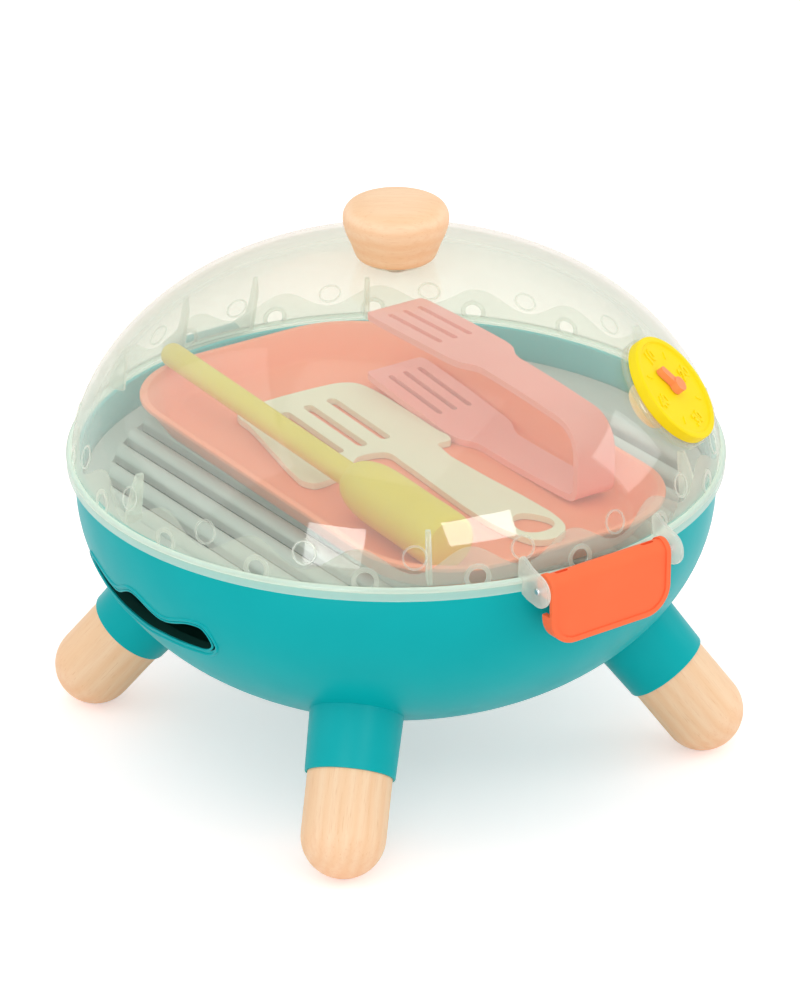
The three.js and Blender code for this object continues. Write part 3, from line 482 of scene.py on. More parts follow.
def zinc_steel(name):
    """Zinc plated steel: turned rings in a thin bright coat."""
    finish, tree, shader = new_finish(name)
    spot = add(tree, "TexCoord").outputs["Object"]
    haze = clouds(tree, spot, 2.5, 3.0)
    tone, rough = tinted(tree, haze, "#D6D8DA", "#B4B7BB"), spread(tree, haze, 0.22, 0.4)
    feed(tree, shader, {"Base Color": tone, "Roughness": rough, "Metallic": 1.0})
    return finish


steel = zinc_steel("zinc_plated_steel")


def dressed(piece, finish, body, slot, *nodes):
    """Gives a finished piece its material and its body, and hides the CAD parts it stands for. slot
    is not used.
    """
    piece.data.materials.clear()
    piece.data.materials.append(finish)
    if body:
        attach(piece, body)
    if nodes:
        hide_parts(*nodes)
    size = [round(v / MM, 1) for v in piece.dimensions]
    print(f"{piece.name}: {len(piece.data.polygons)} faces, {size} mm, on {body}")
    return piece


def also_dressed(piece, finish, test):
    """Gives the faces that pass the test another finish."""
    piece.data.materials.append(finish)
    work_on(piece, "EDIT")
    choose("FACE", test)
    piece.active_material_index = 1
    bpy.ops.object.material_slot_assign()
    bpy.ops.object.mode_set(mode="OBJECT")


# %% [markdown]
# ## The bowl
# The bowl is one moulding. Its side is part of an ellipse, with a flat foot, a round rim and
# a ledge inside for the grate. One profile, turned once, gives both faces of the wall, so the
# wall has an even thickness and there is nothing to cut out.

# %% Turn the shell
BOWL_RADIUS, BOWL_DEPTH, SHOULDER, WALL = 156.0, 106.36, 135.6, 2.8
FOOT, RIM_TOP, FOOT_ANGLE = 37.6, 151.5, 66.4


def bowl_side(angle, inset=0.0):
    a = math.radians(angle)
    return ((BOWL_RADIUS - inset) * math.cos(a), SHOULDER - (BOWL_DEPTH - inset) * math.sin(a))


def bowl_side_at(z, inset=0.0):
    sine = (SHOULDER - z) / (BOWL_DEPTH - inset)
    return (BOWL_RADIUS - inset) * math.sqrt(1 - max(0.0, sine) ** 2)


shell_profile = [
    (0, FOOT), (30, FOOT), (59, FOOT),
    *[bowl_side(FOOT_ANGLE * (1 - i / 30)) for i in range(31)],
    (156, 150.6), (155.7, 151.2), (155.1, RIM_TOP), (154.1, RIM_TOP), (153.5, 151.2),
    (153.2, 150.6), (153.2, 132.2), (152.8, 131.7), (147.5, 131.7), (147, 131.2), (147, 129.4),
    (147.4, 128.5), (151.9, 124),
    *[bowl_side(7 + 59.5 * i / 24, WALL) for i in range(25)],
    (0, FOOT + WALL),
]
bowl = turned("bowl_shell", shell_profile, 160)
print("shell faces:", len(bowl.data.polygons))

# %% [markdown]
# Four round sockets leave the side square to it and hold the legs. One socket is turned
# upright, then copied to its four places. The rod ends inside the wall, so the union leaves
# the inside of the bowl smooth.

# %% Add the leg sockets
LEG_RADIUS, LEG_SPLAY = 20.3, 39.5
LEG_TURNS = {"front_right": -45, "front_left": -135, "rear_left": 135, "rear_right": 45}


def on_leg(direction):
    return turn(direction) @ at(152.99, 0, 19.8) @ turn(-LEG_SPLAY, "Y")


socket_side = [(21.0, 28.8), (21.5, 29.0), (21.65, 29.5), (22.4, 56), (22.6, 60.4)]
socket = turned("socket", [(0, 28.8), *socket_side, (0, 60.4)], 96)
boss = turned("boss", [(0, 59.4), (7, 59.4), (7, 61.9), (6.7, 62.2), (0, 62.2)], 40)
bore = cylinder("bore", 20.6, 25, 58.3, 96)
screw_hole = cylinder("screw_hole", 2.3, 55, 66, 24)
tools = {socket: "UNION", boss: "UNION", bore: "DIFFERENCE", screw_hole: "DIFFERENCE"}
for direction in LEG_TURNS.values():
    for part, operation in tools.items():
        combined(bowl, copied(part, "tool", on_leg(direction)), operation)
for part in tools:
    bpy.data.objects.remove(part)
print("faces with sockets:", len(bowl.data.polygons))

# %% [markdown]
# Each side has a vent shaped as a low cloud. Its outline is drawn smooth through a few
# points, extruded and cut from the wall. A collar inside and two beads outside stiffen the
# edge, as such openings have.

# %% Cut the vents
VENT_OUTER = [
    (0, 1), (0.377, 0.715), (0.772, 0.924), (0.925, 0.886), (1, 0.468), (0.952, 0.278),
    (0.874, 0.171), (0.691, 0.114), (0.485, 0.076), (0.264, 0.053), (0, 0),
]
VENT_HOLE = [
    (0, 1), (0.38, 0.63), (0.79, 0.91), (0.935, 0.87), (1, 0.45), (0.955, 0.27),
    (0.874, 0.165), (0.691, 0.11), (0.485, 0.074), (0.264, 0.05), (0, 0),
]


def both_sides(half):
    """Closes half an outline with its mirror image."""
    return half + [(-side, rise) for side, rise in reversed(half[1:-1])]


def vent_outline(shares, half_width, bottom, height):
    """The outline's points as the distance round the bowl and the height."""
    half = [(side * half_width, bottom + rise * height) for side, rise in shares]
    return curved(both_sides(half), 6)


def flat_vent(margin=0.0):
    outline = vent_outline(VENT_HOLE, 52.2 + margin, 98 - margin, 18.9 + 2 * margin)
    return [(BOWL_RADIUS * math.sin(s / BOWL_RADIUS), z) for s, z in outline]


def solid_bowl(inset):
    points = [bowl_side(FOOT_ANGLE * (1 - i / 24), inset) for i in range(25)]
    return turned("core", [(0, FOOT + inset), *points, (BOWL_RADIUS - inset, 145), (0, 145)], 96)


def between(piece, outer, inner, half_turn):
    """Keeps what lies between two depths under the bowl's face, and takes it to its side."""
    combined(piece, solid_bowl(outer), "INTERSECT")
    cut(piece, solid_bowl(inner))
    return placed(piece, turn(half_turn))


# Painted shade: a dark film starts just inside each hole, where the light no longer reaches; the
# wall there is teal.
shades = []
for half_turn in (0, 180):
    collar = slab("collar", flat_vent(1.8), 110, 165, "YZ")
    united(bowl, between(collar, 1.4, 6.2, half_turn))
    hole = slab("hole", flat_vent(), 100, 165, "YZ")
    cut(bowl, placed(hole, turn(half_turn)))
    shade = slab("shade", flat_vent(0.05), 110, 165, "YZ")
    cut(shade, slab("shade_core", flat_vent(-0.35), 105, 170, "YZ"))
    shades.append(between(shade, 0.9, 6.3, half_turn))
dressed(smoothed(merged("vent_shades", *shades), 32), painted_shade_teal, "base", "teal")


def on_side(outline, lift):
    """Lays an outline on the bowl's side."""
    places = []
    for s, z in outline:
        radius = bowl_side_at(z) + lift
        places.append((radius * math.cos(s / BOWL_RADIUS), radius * math.sin(s / BOWL_RADIUS), z))
    return places


beads = []
for lift, radius, outline in (
    (-0.2, 0.95, vent_outline(VENT_OUTER, 55.1, 94.2, 25.3)),
    (-0.1, 0.6, vent_outline(VENT_HOLE, 52.7, 97.5, 19.9)),
):
    bead = tube("bead", on_side(outline, lift), radius)
    beads += [bead, copied(bead, "bead", turn(180))]
vent_beads = smoothed(merged("vent_beads", *beads), 60)
print("vent beads:", len(beads))

# %% [markdown]
# At the front a small block lets the latch snap under it. At the back a bracket with a knuckle
# carries the hinge. Both are drawn, extruded and united, the bracket from the side; the block's
# edges are rounded.

# %% Add the catch and the hinge bracket
HINGE_Y, HINGE_Z = 168, 147
catch = slab("catch", [(-14, 125.7), (14, 125.7), (14, 132.7), (-14, 132.7)], -163, -154, "XZ")
united(bowl, rounded(catch, 0.9))
gusset_side = [(154.4, 144.8), (154.4, 131.2), (165, 140.6), (169, 144.8)]
gusset = slab("gusset", gusset_side, -19.6, 19.6, "YZ")
knuckle_side = [(0, -19.6), (5.1, -19.6), (5.5, -19.2), (5.5, 19.2), (5.1, 19.6), (0, 19.6)]
knuckle = placed(turned("knuckle", knuckle_side, 48), lying(HINGE_Y, HINGE_Z))
bracket = united(gusset, knuckle)
cut(bracket, placed(cylinder("pin_hole", 2.3, -30, 30), lying(HINGE_Y, HINGE_Z)))
united(bowl, bracket)
smoothed(bowl, 32)
dressed(bowl, teal_abs, "base", "teal", "bowl", "catch")


# Painted shade: the faces of the inner wall and floor below the grate get the dark teal, as the
# inside of the bowl sees little light.
def on_inner_wall(corner):
    x, y, z = corner.co / MM
    radius = math.hypot(x, y)
    if z < FOOT + WALL + 1:
        return z > FOOT + 1 and radius < 62
    return z < 131 and abs(radius - bowl_side_at(z, WALL)) < 0.4


also_dressed(bowl, painted_shade_teal, lambda _, face: all(map(on_inner_wall, face.verts)))
dressed(vent_beads, teal_abs, "base", "teal")

# %% [markdown]
# ## The legs
# Each leg is a dowel with a round end, glued and screwed into its socket. It is turned on its
# own axis, its grain is stored there, and then it is placed and cut flat where it stands.

# %% Turn the legs
leg_profile = [
    *arc(0, 0, LEG_RADIUS, -90, 0, 14),
    *[(LEG_RADIUS, 57.4 * i / 8) for i in range(1, 8)],
    (LEG_RADIUS, 56.5), (18.8, 58.0), (0, 58.0),
]
leg_blank = turned("leg_blank", leg_profile, 72)
for i, (name, direction) in enumerate(LEG_TURNS.items()):
    leg = copied(leg_blank, "wood_leg_" + name)
    keep_grain(leg, turn(70 * i) @ at(60 + 45 * i, 20, 0))
    placed(leg, on_leg(direction))
    work_on(leg, "EDIT")
    bpy.ops.mesh.select_all(action="SELECT")
    bpy.ops.mesh.bisect(plane_co=(0, 0, 0), plane_no=(0, 0, 1), use_fill=True, clear_inner=True)
    outward()
    dressed(smoothed(leg, 50), wood, "base", "wood", "leg_" + name)
bpy.data.objects.remove(leg_blank)

# %% [markdown]
# ## Screws and pins
# The screws have a washer head with a crossed recess, and the pins are plain rods with a
# small chamfer. They are small but show through the clear lid.

# %% Make the screws and pins
PIN_Y, PIN_Z = -166.0, 151.8


def mirrored(profile):
    """Repeats a profile upside down above itself."""
    return profile + [(radius, -z) for radius, z in reversed(profile)]


def screw(name, head_radius, head_height, shank_radius, length):
    """Upright, head up, with the head's underside at height zero."""
    shank = [(0, 0), (0.3, 0), (1, 2 * shank_radius), (1, length)]
    head = [(1, 0), (1, 0.35), (0.8, 0.8), (0.45, 1), (0, 1)]
    profile = [(shank_radius * side, rise - length) for side, rise in shank]
    profile += [(head_radius * side, head_height * rise) for side, rise in head]
    piece = turned(name, profile, 48)
    reach = head_radius * 0.32
    for angle in (0, 90):
        outline = slot_outline(-reach, 0, reach, 0, head_radius * 0.11, 4)
        arm = slab("arm", outline, head_height * 0.45, head_height + 1)
        cut(piece, placed(arm, turn(angle)))
    return smoothed(piece, 30)


leg_screw = screw("leg_screw", 4.5, 2.5, 2.0, 21)
for name, direction in LEG_TURNS.items():
    copy = copied(leg_screw, "steel_screw_" + name, on_leg(direction) @ at(0, 0, 62.52))
    dressed(copy, steel, "base", "screws", "leg_screw_" + name)
bpy.data.objects.remove(leg_screw)
lid_screw = placed(screw("steel_knob_screw", 6, 3, 2.2, 21), at(0, 0, 247.67) @ turn(180, "X"))
dressed(lid_screw, steel, "lid", "screws", "knob_screw")
for name, radius, reach, y, z, body in (
    ("hinge_pin", 2.0, 22.5, HINGE_Y, HINGE_Z, "base"),
    ("latch_pin", 1.6, 40.3, PIN_Y, PIN_Z, "lid"),
):
    rod_side = [(0, -reach), (radius - 0.3, -reach), (radius, 0.3 - reach)]
    rod = turned("steel_" + name, mirrored(rod_side), 32)
    dressed(smoothed(placed(rod, lying(y, z)), 30), steel, body, "steel", name)

# %% [markdown]
# ## The lid
# The dome is a thin clear shell with a stepped rim. As with the bowl, one profile holds both
# faces. The notch for the latch, and the holes behind the dial and the knob, are cut after.

# %% Turn the dome
DOME_RADIUS, DOME_BASE, DOME_RISE, DOME_WALL, RIM_SEAM = 157.3, 153.6, 96.57, 2.2, 152


def dome_point(angle, inset=0.0):
    a = math.radians(angle)
    return (
        (DOME_RADIUS - inset) * max(0.0, math.cos(a)) ** 0.852,
        DOME_BASE + (DOME_RISE - inset) * math.sin(a) ** 1.19,
    )


def dome_radius_at(z, inset=0.0):
    a = math.asin(min(1.0, ((z - DOME_BASE) / (DOME_RISE - inset)) ** (1 / 1.19)))
    return dome_point(math.degrees(a), inset)[0]


DOME_ANGLES = [90 * i / 54 for i in range(54)]
lid_profile = [
    (0, 250.17),
    *[dome_point(a) for a in reversed(DOME_ANGLES)],
    (159.3, 153.6), (159.8, 153.4), (160, 152.9), (160, 147.9), (159.5, 147.4), (157.7, 147.4),
    (157.2, 147.9), (157.2, 151.8), (155.1, 151.8),
    *[dome_point(a, DOME_WALL) for a in DOME_ANGLES],
    (0, 247.97),
]
dome = turned("lid_dome", lid_profile, 192)
notch = [(-37.8, 140), (37.8, 140), (37.8, 151.8), (-37.8, 151.8)]
cut(dome, slab("notch", notch, -170, -100, "XZ"))
DIAL_FRAME = Matrix((
    (0.80073, -0.39319, 0.45192, 0.08156),
    (0.59902, 0.52559, -0.60409, -0.10902),
    (0, 0.75442, 0.65639, 0.19959),
    (0, 0, 0, 1),
))
cut(dome, placed(cylinder("bush_hole", 7.3, -8, 6, 48), DIAL_FRAME))
cut(dome, cylinder("knob_hole", 2.5, 240, 256))
smoothed(dome, 32)
dressed(dome, clear_styrene, "lid", "clear", "lid")
also_dressed(dome, clear_rim, lambda middle, _: middle.z < RIM_SEAM)
rim_section = [
    (157.5, 153.6), (157.9, 154.0), (159.4, 153.95), (160.1, 153.5), (160.3, 152.7),
    (160.2, 151.9), (159.8, 151.6), (158.2, 151.8), (157.5, 153.6),
]
dressed(smoothed(turned("lid_rim", rim_section, 160), 60), bright_edge, "lid", "clear")

# %% [markdown]
# The rim's edge, the ears for the latch and the hinge and the fins that centre the lid are thick or
# seen edge on, so they look paler than the dome. The pads under the knob and dial keep the dome's
# finish.

# %% Add ears, fins and pads
def ear_pair(name, outline, inner, thickness=2.2):
    ear = rounded(slab(name, outline, inner, inner + thickness, "YZ"), 0.45, 2)
    return [ear, copied(ear, name, Matrix.Scale(-1, 4, (1, 0, 0)))]


latch_ear = [
    (-151.5, 152.2), (-151.8, 162.6), (-153.6, 164.9), (-155.6, 164.4), (-160.2, 161.8),
    *arc(PIN_Y, PIN_Z, 8, 112, 278, 20),
    (-158.5, 144.7), (-154.3, 146.2), (-154.3, 151.9),
]
hinge_ear = [
    (155.5, 152), (158, 145.8),
    *arc(HINGE_Y, HINGE_Z, 6, -110, 60, 18),
    (160.5, 160.5), (156.5, 168.8), (152.4, 183.2), (151, 183.6), (150.2, 175),
]
latch_ears = ear_pair("latch_ear", latch_ear, 37.8)
hinge_ears = ear_pair("hinge_ear", hinge_ear, 20)
for ear in (latch_ears[1], hinge_ears[1]):
    work_on(ear, "EDIT")
    outward()
fins = []
for i in range(6):
    inner = [(dome_radius_at(z, DOME_WALL) - reach, z) for z, reach in ((177.6, 2.2), (153.8, 7))]
    outer = [(dome_radius_at(z, 1.1), z) for z in (153.8, 160, 166, 172, 177.6)]
    fin = slab("fin", outer + inner, -1.2, 1.2, "XZ")
    fins.append(placed(rounded(fin, 0.3, 2), turn(60 * i)))
pad_section = [(2.6, 250.0), (2.6, 250.55), (13.6, 250.55), (14, 250.2), (14, 249.5), (2.6, 249.5)]
pad = turned("pad", pad_section + pad_section[:1], 72)
ring_section = [(28.3, -8), (29.3, -8), (29.3, -1.7), (29.1, -1.4), (28.5, -1.4), (28.3, -1.7)]
ring = placed(turned("ring", ring_section + ring_section[:1], 96), DIAL_FRAME)
core_side = [dome_point(90 * i / 36, 1.2) for i in range(36)]
cut(ring, turned("dome_core", [(0, 150), *core_side, (0, 248.9)], 128))
trim = merged("lid_trim", *latch_ears, *hinge_ears, *fins)
dressed(smoothed(trim, 35), bright_ring, "lid", "clear")
dressed(smoothed(merged("lid_pads", pad, ring), 35), clear_styrene, "lid", "clear")

# %% [markdown]
# A low wave runs round the foot of the dome, frosted below its line, with a small ring in
# each valley and on each crest. The band is a circle of many points, raised in rings. The
# points that share a phase of the wave are then picked together and moved up the dome.

# %% Raise the wave band and its rings
WAVES, PHASES, FIRST_CREST, BAND_FOOT = 19, 24, -132.0, 154.2


def wave_height(phase):
    return 165.5 + 5.5 * math.cos(2 * math.pi * phase / PHASES)


def point_phase(middle):
    """Where in its wave a point stands, as one of the phases."""
    around = math.degrees(math.atan2(middle.y, middle.x)) - FIRST_CREST
    return round(around * WAVES * PHASES / 360) % PHASES


band_profile = [(dome_radius_at(z, -0.1), z) for z in (BAND_FOOT + 2 * i for i in range(6))]
band = turned("wave_band", band_profile, WAVES * PHASES)
placed(band, turn(FIRST_CREST))
work_on(band, "EDIT")
for level in range(5, 0, -1):
    for phase in range(PHASES):
        target = BAND_FOOT + (wave_height(phase) - BAND_FOOT) * level / 5
        radius, height = band_profile[level]
        scale = dome_radius_at(target, -0.1) / radius
        choose("VERT", lambda m, _: abs(m.z - height) < 0.01 and point_phase(m) == phase)
        bpy.ops.transform.resize(value=(scale, scale, 1), center_override=(0, 0, 0))
        bpy.ops.transform.translate(value=(0, 0, (target - height) * MM + 1e-7))
bpy.ops.object.mode_set(mode="OBJECT")
modified(band, "SOLIDIFY", thickness=0.12 * MM, offset=-1.0)
print("band points:", len(band.data.vertices))


def on_dome(direction, z):
    """A place on the dome with +Z outwards."""
    low, high = dome_radius_at(z - 0.5), dome_radius_at(z + 0.5)
    lean = math.degrees(math.atan2(1, low - high))
    return turn(direction) @ at(dome_radius_at(z), 0, z) @ turn(lean, "Y")


rings, eyes = [], []
for radius, width, z, offset in ((5.9, 1.0, 167.4, 0.5), (6.5, 2.3, 156.7, 0.06)):
    hole = radius - width
    section = [
        (hole, -0.3), (hole, 0.15), (hole + 0.2, 0.35), (radius - 0.2, 0.35), (radius, 0.15),
        (radius, -0.3),
    ]
    blank = turned("ring_blank", section, 32)
    for i in range(WAVES):
        direction = FIRST_CREST + (i + offset) * 360 / WAVES
        rings.append(copied(blank, "band_ring", on_dome(direction, z)))
        if offset < 0.5:
            eye = cylinder("eye", hole, -4, 4, 24)
            eyes.append(placed(eye, on_dome(direction, z)))
    bpy.data.objects.remove(blank)
cut(band, merged("eyes", *eyes))
dressed(smoothed(band, 60), frosted_band, "lid", "clear")
dressed(smoothed(merged("band_rings", *rings), 40), bright_ring, "lid", "clear")

# %% [markdown]
# ## The latch
# The latch is an orange flap on a pin. Its front is a sunk panel inside a raised border, the
# top rolls round the pin and the lower edge turns back to snap under the bowl's catch. The
# border is drawn from the front and united with a turned roll, and the panel is cut from both.

# %% Build the latch
LATCH_FACE, LATCH_BACK, LATCH_LOW, LATCH_HALF, BORDER = -171.2, -168.7, 122.5, 34.8, 2.9


def latch_outline(inset, top, corner=14.0):
    half, low, bend = LATCH_HALF - inset, LATCH_LOW + inset, corner - inset
    return [
        *arc(-half + bend, low + bend, bend, 180, 270, 12),
        *arc(half - bend, low + bend, bend, 270, 360, 12),
        (half, top), (-half, top),
    ]


ROLL, ROLL_Y, ROLL_Z, SUNK = 6.1, LATCH_FACE + 6.1, PIN_Z + 0.6, 0.7
end_round = [(5.3 + 0.8 * math.sin(a), -34 - 0.8 * math.cos(a)) for a in (0.4, 0.8, 1.2, 1.57)]
roll_profile = mirrored([(0, -LATCH_HALF), (5.3, -LATCH_HALF), *end_round])
roll = placed(turned("roll", roll_profile, 72), lying(ROLL_Y, ROLL_Z))
border = rounded(slab("latch", latch_outline(0, ROLL_Z), LATCH_BACK, LATCH_FACE, "XZ"), 0.6)
united(border, roll)
panel = slab("panel", latch_outline(BORDER, ROLL_Z), LATCH_FACE - 3, LATCH_FACE + SUNK, "XZ")
cut(border, panel)
over_roll = arc(ROLL_Y, ROLL_Z, ROLL - SUNK, 180, 20, 20)
over_roll += arc(ROLL_Y, ROLL_Z, ROLL + 3, 20, 180, 20)
over_roll = slab("over_roll", over_roll, BORDER - LATCH_HALF, LATCH_HALF - BORDER, "YZ")
cut(border, over_roll)
lip = slab("lip", latch_outline(0, 138), -169.5, -163.3, "XZ")
cut(lip, slab("inside", latch_outline(BORDER, 150), LATCH_BACK, -160, "XZ"))
united(border, rounded(lip, 0.5, 2))
cut(border, placed(cylinder("latch_bore", 1.9, -50, 50), lying(PIN_Y, PIN_Z)))
for x in (-25, 25):
    slit = slab("slit", slot_outline(x - 2.6, -164.8, x + 2.6, -164.8, 1.0, 5), 155.8, 160)
    cut(border, slit)
dressed(smoothed(border, 30, True), orange_abs, "latch", "orange", "latch")

# %% [markdown]
# ## The knob
# The knob is turned from one piece of rubberwood, with its grain across the lid. Its side is
# a smooth curve through a few measured points, and its top is a gentle dome.

# %% Turn the knob
KNOB_SHARES = [
    (0.5, 0), (0.62, 0.02), (0.732, 0.063), (0.79, 0.15), (0.852, 0.29), (0.92, 0.42),
    (0.972, 0.54), (1, 0.67), (0.985, 0.78), (0.91, 0.88), (0.76, 0.945), (0.5, 0.983), (0.2, 1),
]
KNOB_RADIUS, KNOB_FOOT, KNOB_TOP = 25.4, 250.7, 281.3


def on_knob(side, rise):
    return (KNOB_RADIUS * side, KNOB_FOOT + (KNOB_TOP - KNOB_FOOT) * rise)


knob_side = curved([on_knob(*share) for share in KNOB_SHARES], 4, False)
knob = turned("wood_knob", [(0, KNOB_FOOT), *knob_side, (0, KNOB_TOP)], 96)
cut(knob, cylinder("pilot", 2.5, 240, 270))
keep_grain(knob, turn(90, "Y") @ turn(35) @ at(12, 30, -230))
dressed(smoothed(knob, 50), wood, "lid", "wood", "knob")

# %% [markdown]
# ## The dial
# The dial is a yellow disc with a raised rim and raised numbers, held by the cream cap behind
# the dome. The pointer turns on the cap's axle. The numbers and ticks are generic.

# %% Turn the dial and its cap
def on_dial(piece):
    return placed(piece, DIAL_FRAME)


dial_section = [
    (2.9, -5.0), (7.0, -5.0), (7.0, 0.3), (14.0, 0.0), (21.0, -0.8), (27.2, -1.6), (28.0, -1.0),
    (28.0, 3.1), (27.8, 3.7), (27.4, 4.05), (26.9, 4.2), (25.4, 4.2), (25.0, 4.1), (24.7, 3.8),
    (24.5, 3.2), (24.2, 3.0), (2.9, 3.0), (2.9, -5.0),
]
dial = turned("dial", dial_section, 128)
cap_section = [
    (0, -16.4), (9.6, -16.4), (11.2, -15.9), (12.0, -14.4), (12.0, -6.8), (11.6, -6.4),
    (2.6, -6.4), (2.6, 6.6), (2.3, 6.8), (0, 6.8),
]
hub = turned("dial_hub_cap", cap_section, 72)
well = turned("well", [(0, -22), (7, -22), (7, -15.2), (6.4, -14.6), (0, -14.6)], 64)
cut(hub, well)

# %% [markdown]
# Text is typed as a font object, thickened, made a mesh and set on the dial's face.

# %% Emboss the numbers and ticks
marks = []
for digit, u, v in (("10", 0.3, 18.6), ("20", 17.4, 0), ("30", -1.2, -18.4), ("40", -17.6, 0.6)):
    clear_selection()
    bpy.ops.object.text_add()
    number = bpy.context.object
    font = number.data
    font.body, font.size, font.align_x, font.align_y = digit, 9.0 * MM, "CENTER", "CENTER"
    font.extrude, font.offset, font.bevel_depth = 0.35 * MM, 0.25 * MM, 0.12 * MM
    bpy.ops.object.convert(target="MESH")
    work_on(number, "EDIT")
    outward()
    marks.append(placed(number, at(u, v, 3.2)))
for angle in (45, 135, 225, 315):
    tick = slab("tick", slot_outline(-1.7, 0, 1.7, 0, 0.6, 5), 2.7, 3.5)
    marks.append(placed(rounded(tick, 0.2, 2), turn(angle) @ at(18.6, 0, 0)))
numbers = on_dial(merged("dial_numbers", *marks))
dressed(smoothed(on_dial(dial), 30), yellow_abs, "lid", "yellow", "dial")
dressed(smoothed(numbers, 35), yellow_abs, "lid", "yellow")
dressed(smoothed(on_dial(hub), 30), cream_abs, "pointer", "cream", "dial_hub")

# %% [markdown]
# The pointer is a round hub with a short thick arm. Both are one extruded outline with a wide
# soft bevel, so it looks like a piece of candy, as it does on the toy.

# %% Draw the pointer
pointer = slab("pointer", slot_outline(0, 0, 0, 11.0, 1.9, 12), 3.3, 6.8)
united(pointer, slab("pointer_hub", arc(0, 0, 3.8, 0, 350, 35), 3.3, 7.4))
rounded(pointer, 1.2, 5, 50)
cut(pointer, cylinder("axle_hole", 2.8, 2, 6.5))
on_dial(placed(pointer, turn(18)))
dressed(smoothed(pointer, 40, True), pointer_abs, "pointer", "orange", "dial_pointer")

# %% [markdown]
# ## The grate
# The grate is a round plate with long slots and rounded bars. One bar is drawn as an arc,
# extruded and repeated with an array. A cylinder then trims all bars to the round field.

# %% Make the grate
PITCH, SLOT, FIELD, COUNT = 15.6, 6.0, 140.0, 17
BAR_HALF = (PITCH - SLOT) / 2


def row(piece, count):
    step = {"use_relative_offset": False, "use_constant_offset": True}
    modified(piece, "ARRAY", count=count, constant_offset_displace=(PITCH * MM, 0, 0), **step)


edge = [(151.9, 132), (152.3, 132.4), (152.3, 135.6), (151.9, 136)]
plate = turned("grate", [(0, 132), *edge, (0, 136)], 128)
first = -(COUNT - 1) / 2 * PITCH
near, far = first + BAR_HALF, first + BAR_HALF + SLOT
slit = slab("slit", [(near, -150), (far, -150), (far, 150), (near, 150)], 130, 137)
row(slit, COUNT - 1)
combined(slit, cylinder("slot_field", FIELD, 129, 138, 128), "INTERSECT")
crest = [(first + BAR_HALF * u, 135.7 + 2.8 * v) for u, v in arc(0, 0, 1, 0, 180, 14)]
bar = slab("bar", crest, -150, 150, "XZ")
row(bar, COUNT)
combined(bar, cylinder("bar_field", FIELD, 129, 142, 128), "INTERSECT")
cut(plate, slit)
united(plate, bar)
dressed(smoothed(plate, 30), grey_pp, "grate", "grey", "grate")

# %% [markdown]
# ## The tray
# The tray is a shallow moulded rectangle with large round corners and a flat lip. A plane is
# given bevelled corners, and its outline is then extruded and inset, step by step, from the
# bottom, over the lip, and down to the floor.

# %% Raise the tray
TRAY_TURN, TRAY_HALF_X, TRAY_HALF_Y = at(1.5, 1, 0) @ turn(-1.7), 83, 140.7
tray_steps = [
    (13.8, 138.8), (11.4, 139.0), (9.6, 139.9), (8.6, 141.8), (1.1, 153.1), (0.25, 153.1),
    (0, 153.4), (0, 154.6), (0.2, 155.1), (0.7, 155.3), (2.8, 155.3), (3.3, 155.1), (3.6, 154.6),
    (10.9, 144.6), (12.0, 142.4), (13.3, 141.4), (15, 141.2),
]
clear_selection()
bpy.ops.mesh.primitive_plane_add(size=2 * MM)
tray = begin("tray")
inset, low = tray_steps[0]
bpy.ops.transform.resize(value=(TRAY_HALF_X - inset, TRAY_HALF_Y - inset, 1))
bpy.ops.transform.translate(value=(0, 0, low * MM))
bpy.ops.mesh.bevel(offset=44.2 * MM, segments=20, affect="VERTICES", clamp_overlap=False)
for (inset0, z0), (inset1, z1) in zip(tray_steps, tray_steps[1:]):
    bpy.ops.mesh.extrude_region_move(TRANSFORM_OT_translate={"value": (0, 0, (z1 - z0) * MM)})
    scales = [(half - inset1) / (half - inset0) for half in (TRAY_HALF_X, TRAY_HALF_Y)]
    bpy.ops.transform.resize(value=(*scales, 1), center_override=(0, 0, 0))
outward()
placed(tray, TRAY_TURN)
dressed(smoothed(tray, 40), coral_pp, "tray", "coral", "tray")

# %% [markdown]
# ## The spatula
# The spatula is one flat moulding. Its outline is a smooth line through measured points. The
# blade's slots and the handle's eye are cut through, and all edges get a small round.

# %% Cut the spatula
SPATULA_SHARES = [
    (-0.275, 0.5), (0.334, 0.498), (0.41, 0.485), (0.455, 0.464), (0.478, 0.401), (0.468, 0.237),
    (0.455, 0.13), (0.46, 0.107), (0.455, 0.083), (0.433, 0.067), (0.345, 0.065),
    (0.335, -0.382), (0.302, -0.457), (0.25, -0.486), (0.176, -0.5), (0.11, -0.495),
    (0.064, -0.479), (0.02, -0.418), (0, -0.316), (0.064, 0.032), (0.066, 0.098),
    (-0.02, 0.117), (-0.097, 0.117), (-0.18, 0.09), (-0.259, 0.069), (-0.4, 0.055),
    (-0.465, 0.058), (-0.495, 0.078), (-0.5, 0.102), (-0.341, 0.41), (-0.325, 0.47),
]
SPATULA_SLOTS = [(0.172, 0.211), (0.02, 0.057), (-0.133, -0.095)]
EYE_SHARES = [
    (0, 0.5), (-0.16, 0.46), (-0.36, 0.24), (-0.5, -0.08), (-0.45, -0.3), (-0.25, -0.46),
    (0, -0.5),
]


def on_spatula(side, run):
    return (-5.4 + 91.6 * side, -11.95 + 205.9 * run)


spatula = slab("spatula", curved([on_spatula(*share) for share in SPATULA_SHARES], 4), 141.5, 145)
eye_x, eye_y = on_spatula(0.178, -0.403)
eye = [(eye_x + 19 * side, eye_y + 22 * run) for side, run in both_sides(EYE_SHARES)]
cut(spatula, slab("eye", curved(eye, 3), 140, 147))
for near, far in SPATULA_SLOTS:
    ends = (*on_spatula(near, 0.175), *on_spatula(far, 0.417))
    cut(spatula, slab("slit", slot_outline(*ends, 2.75), 140, 147))
rounded(spatula, 0.7, 3, 50)
dressed(smoothed(spatula, 40, True), beige_pp, "spatula", "beige", "spatula")
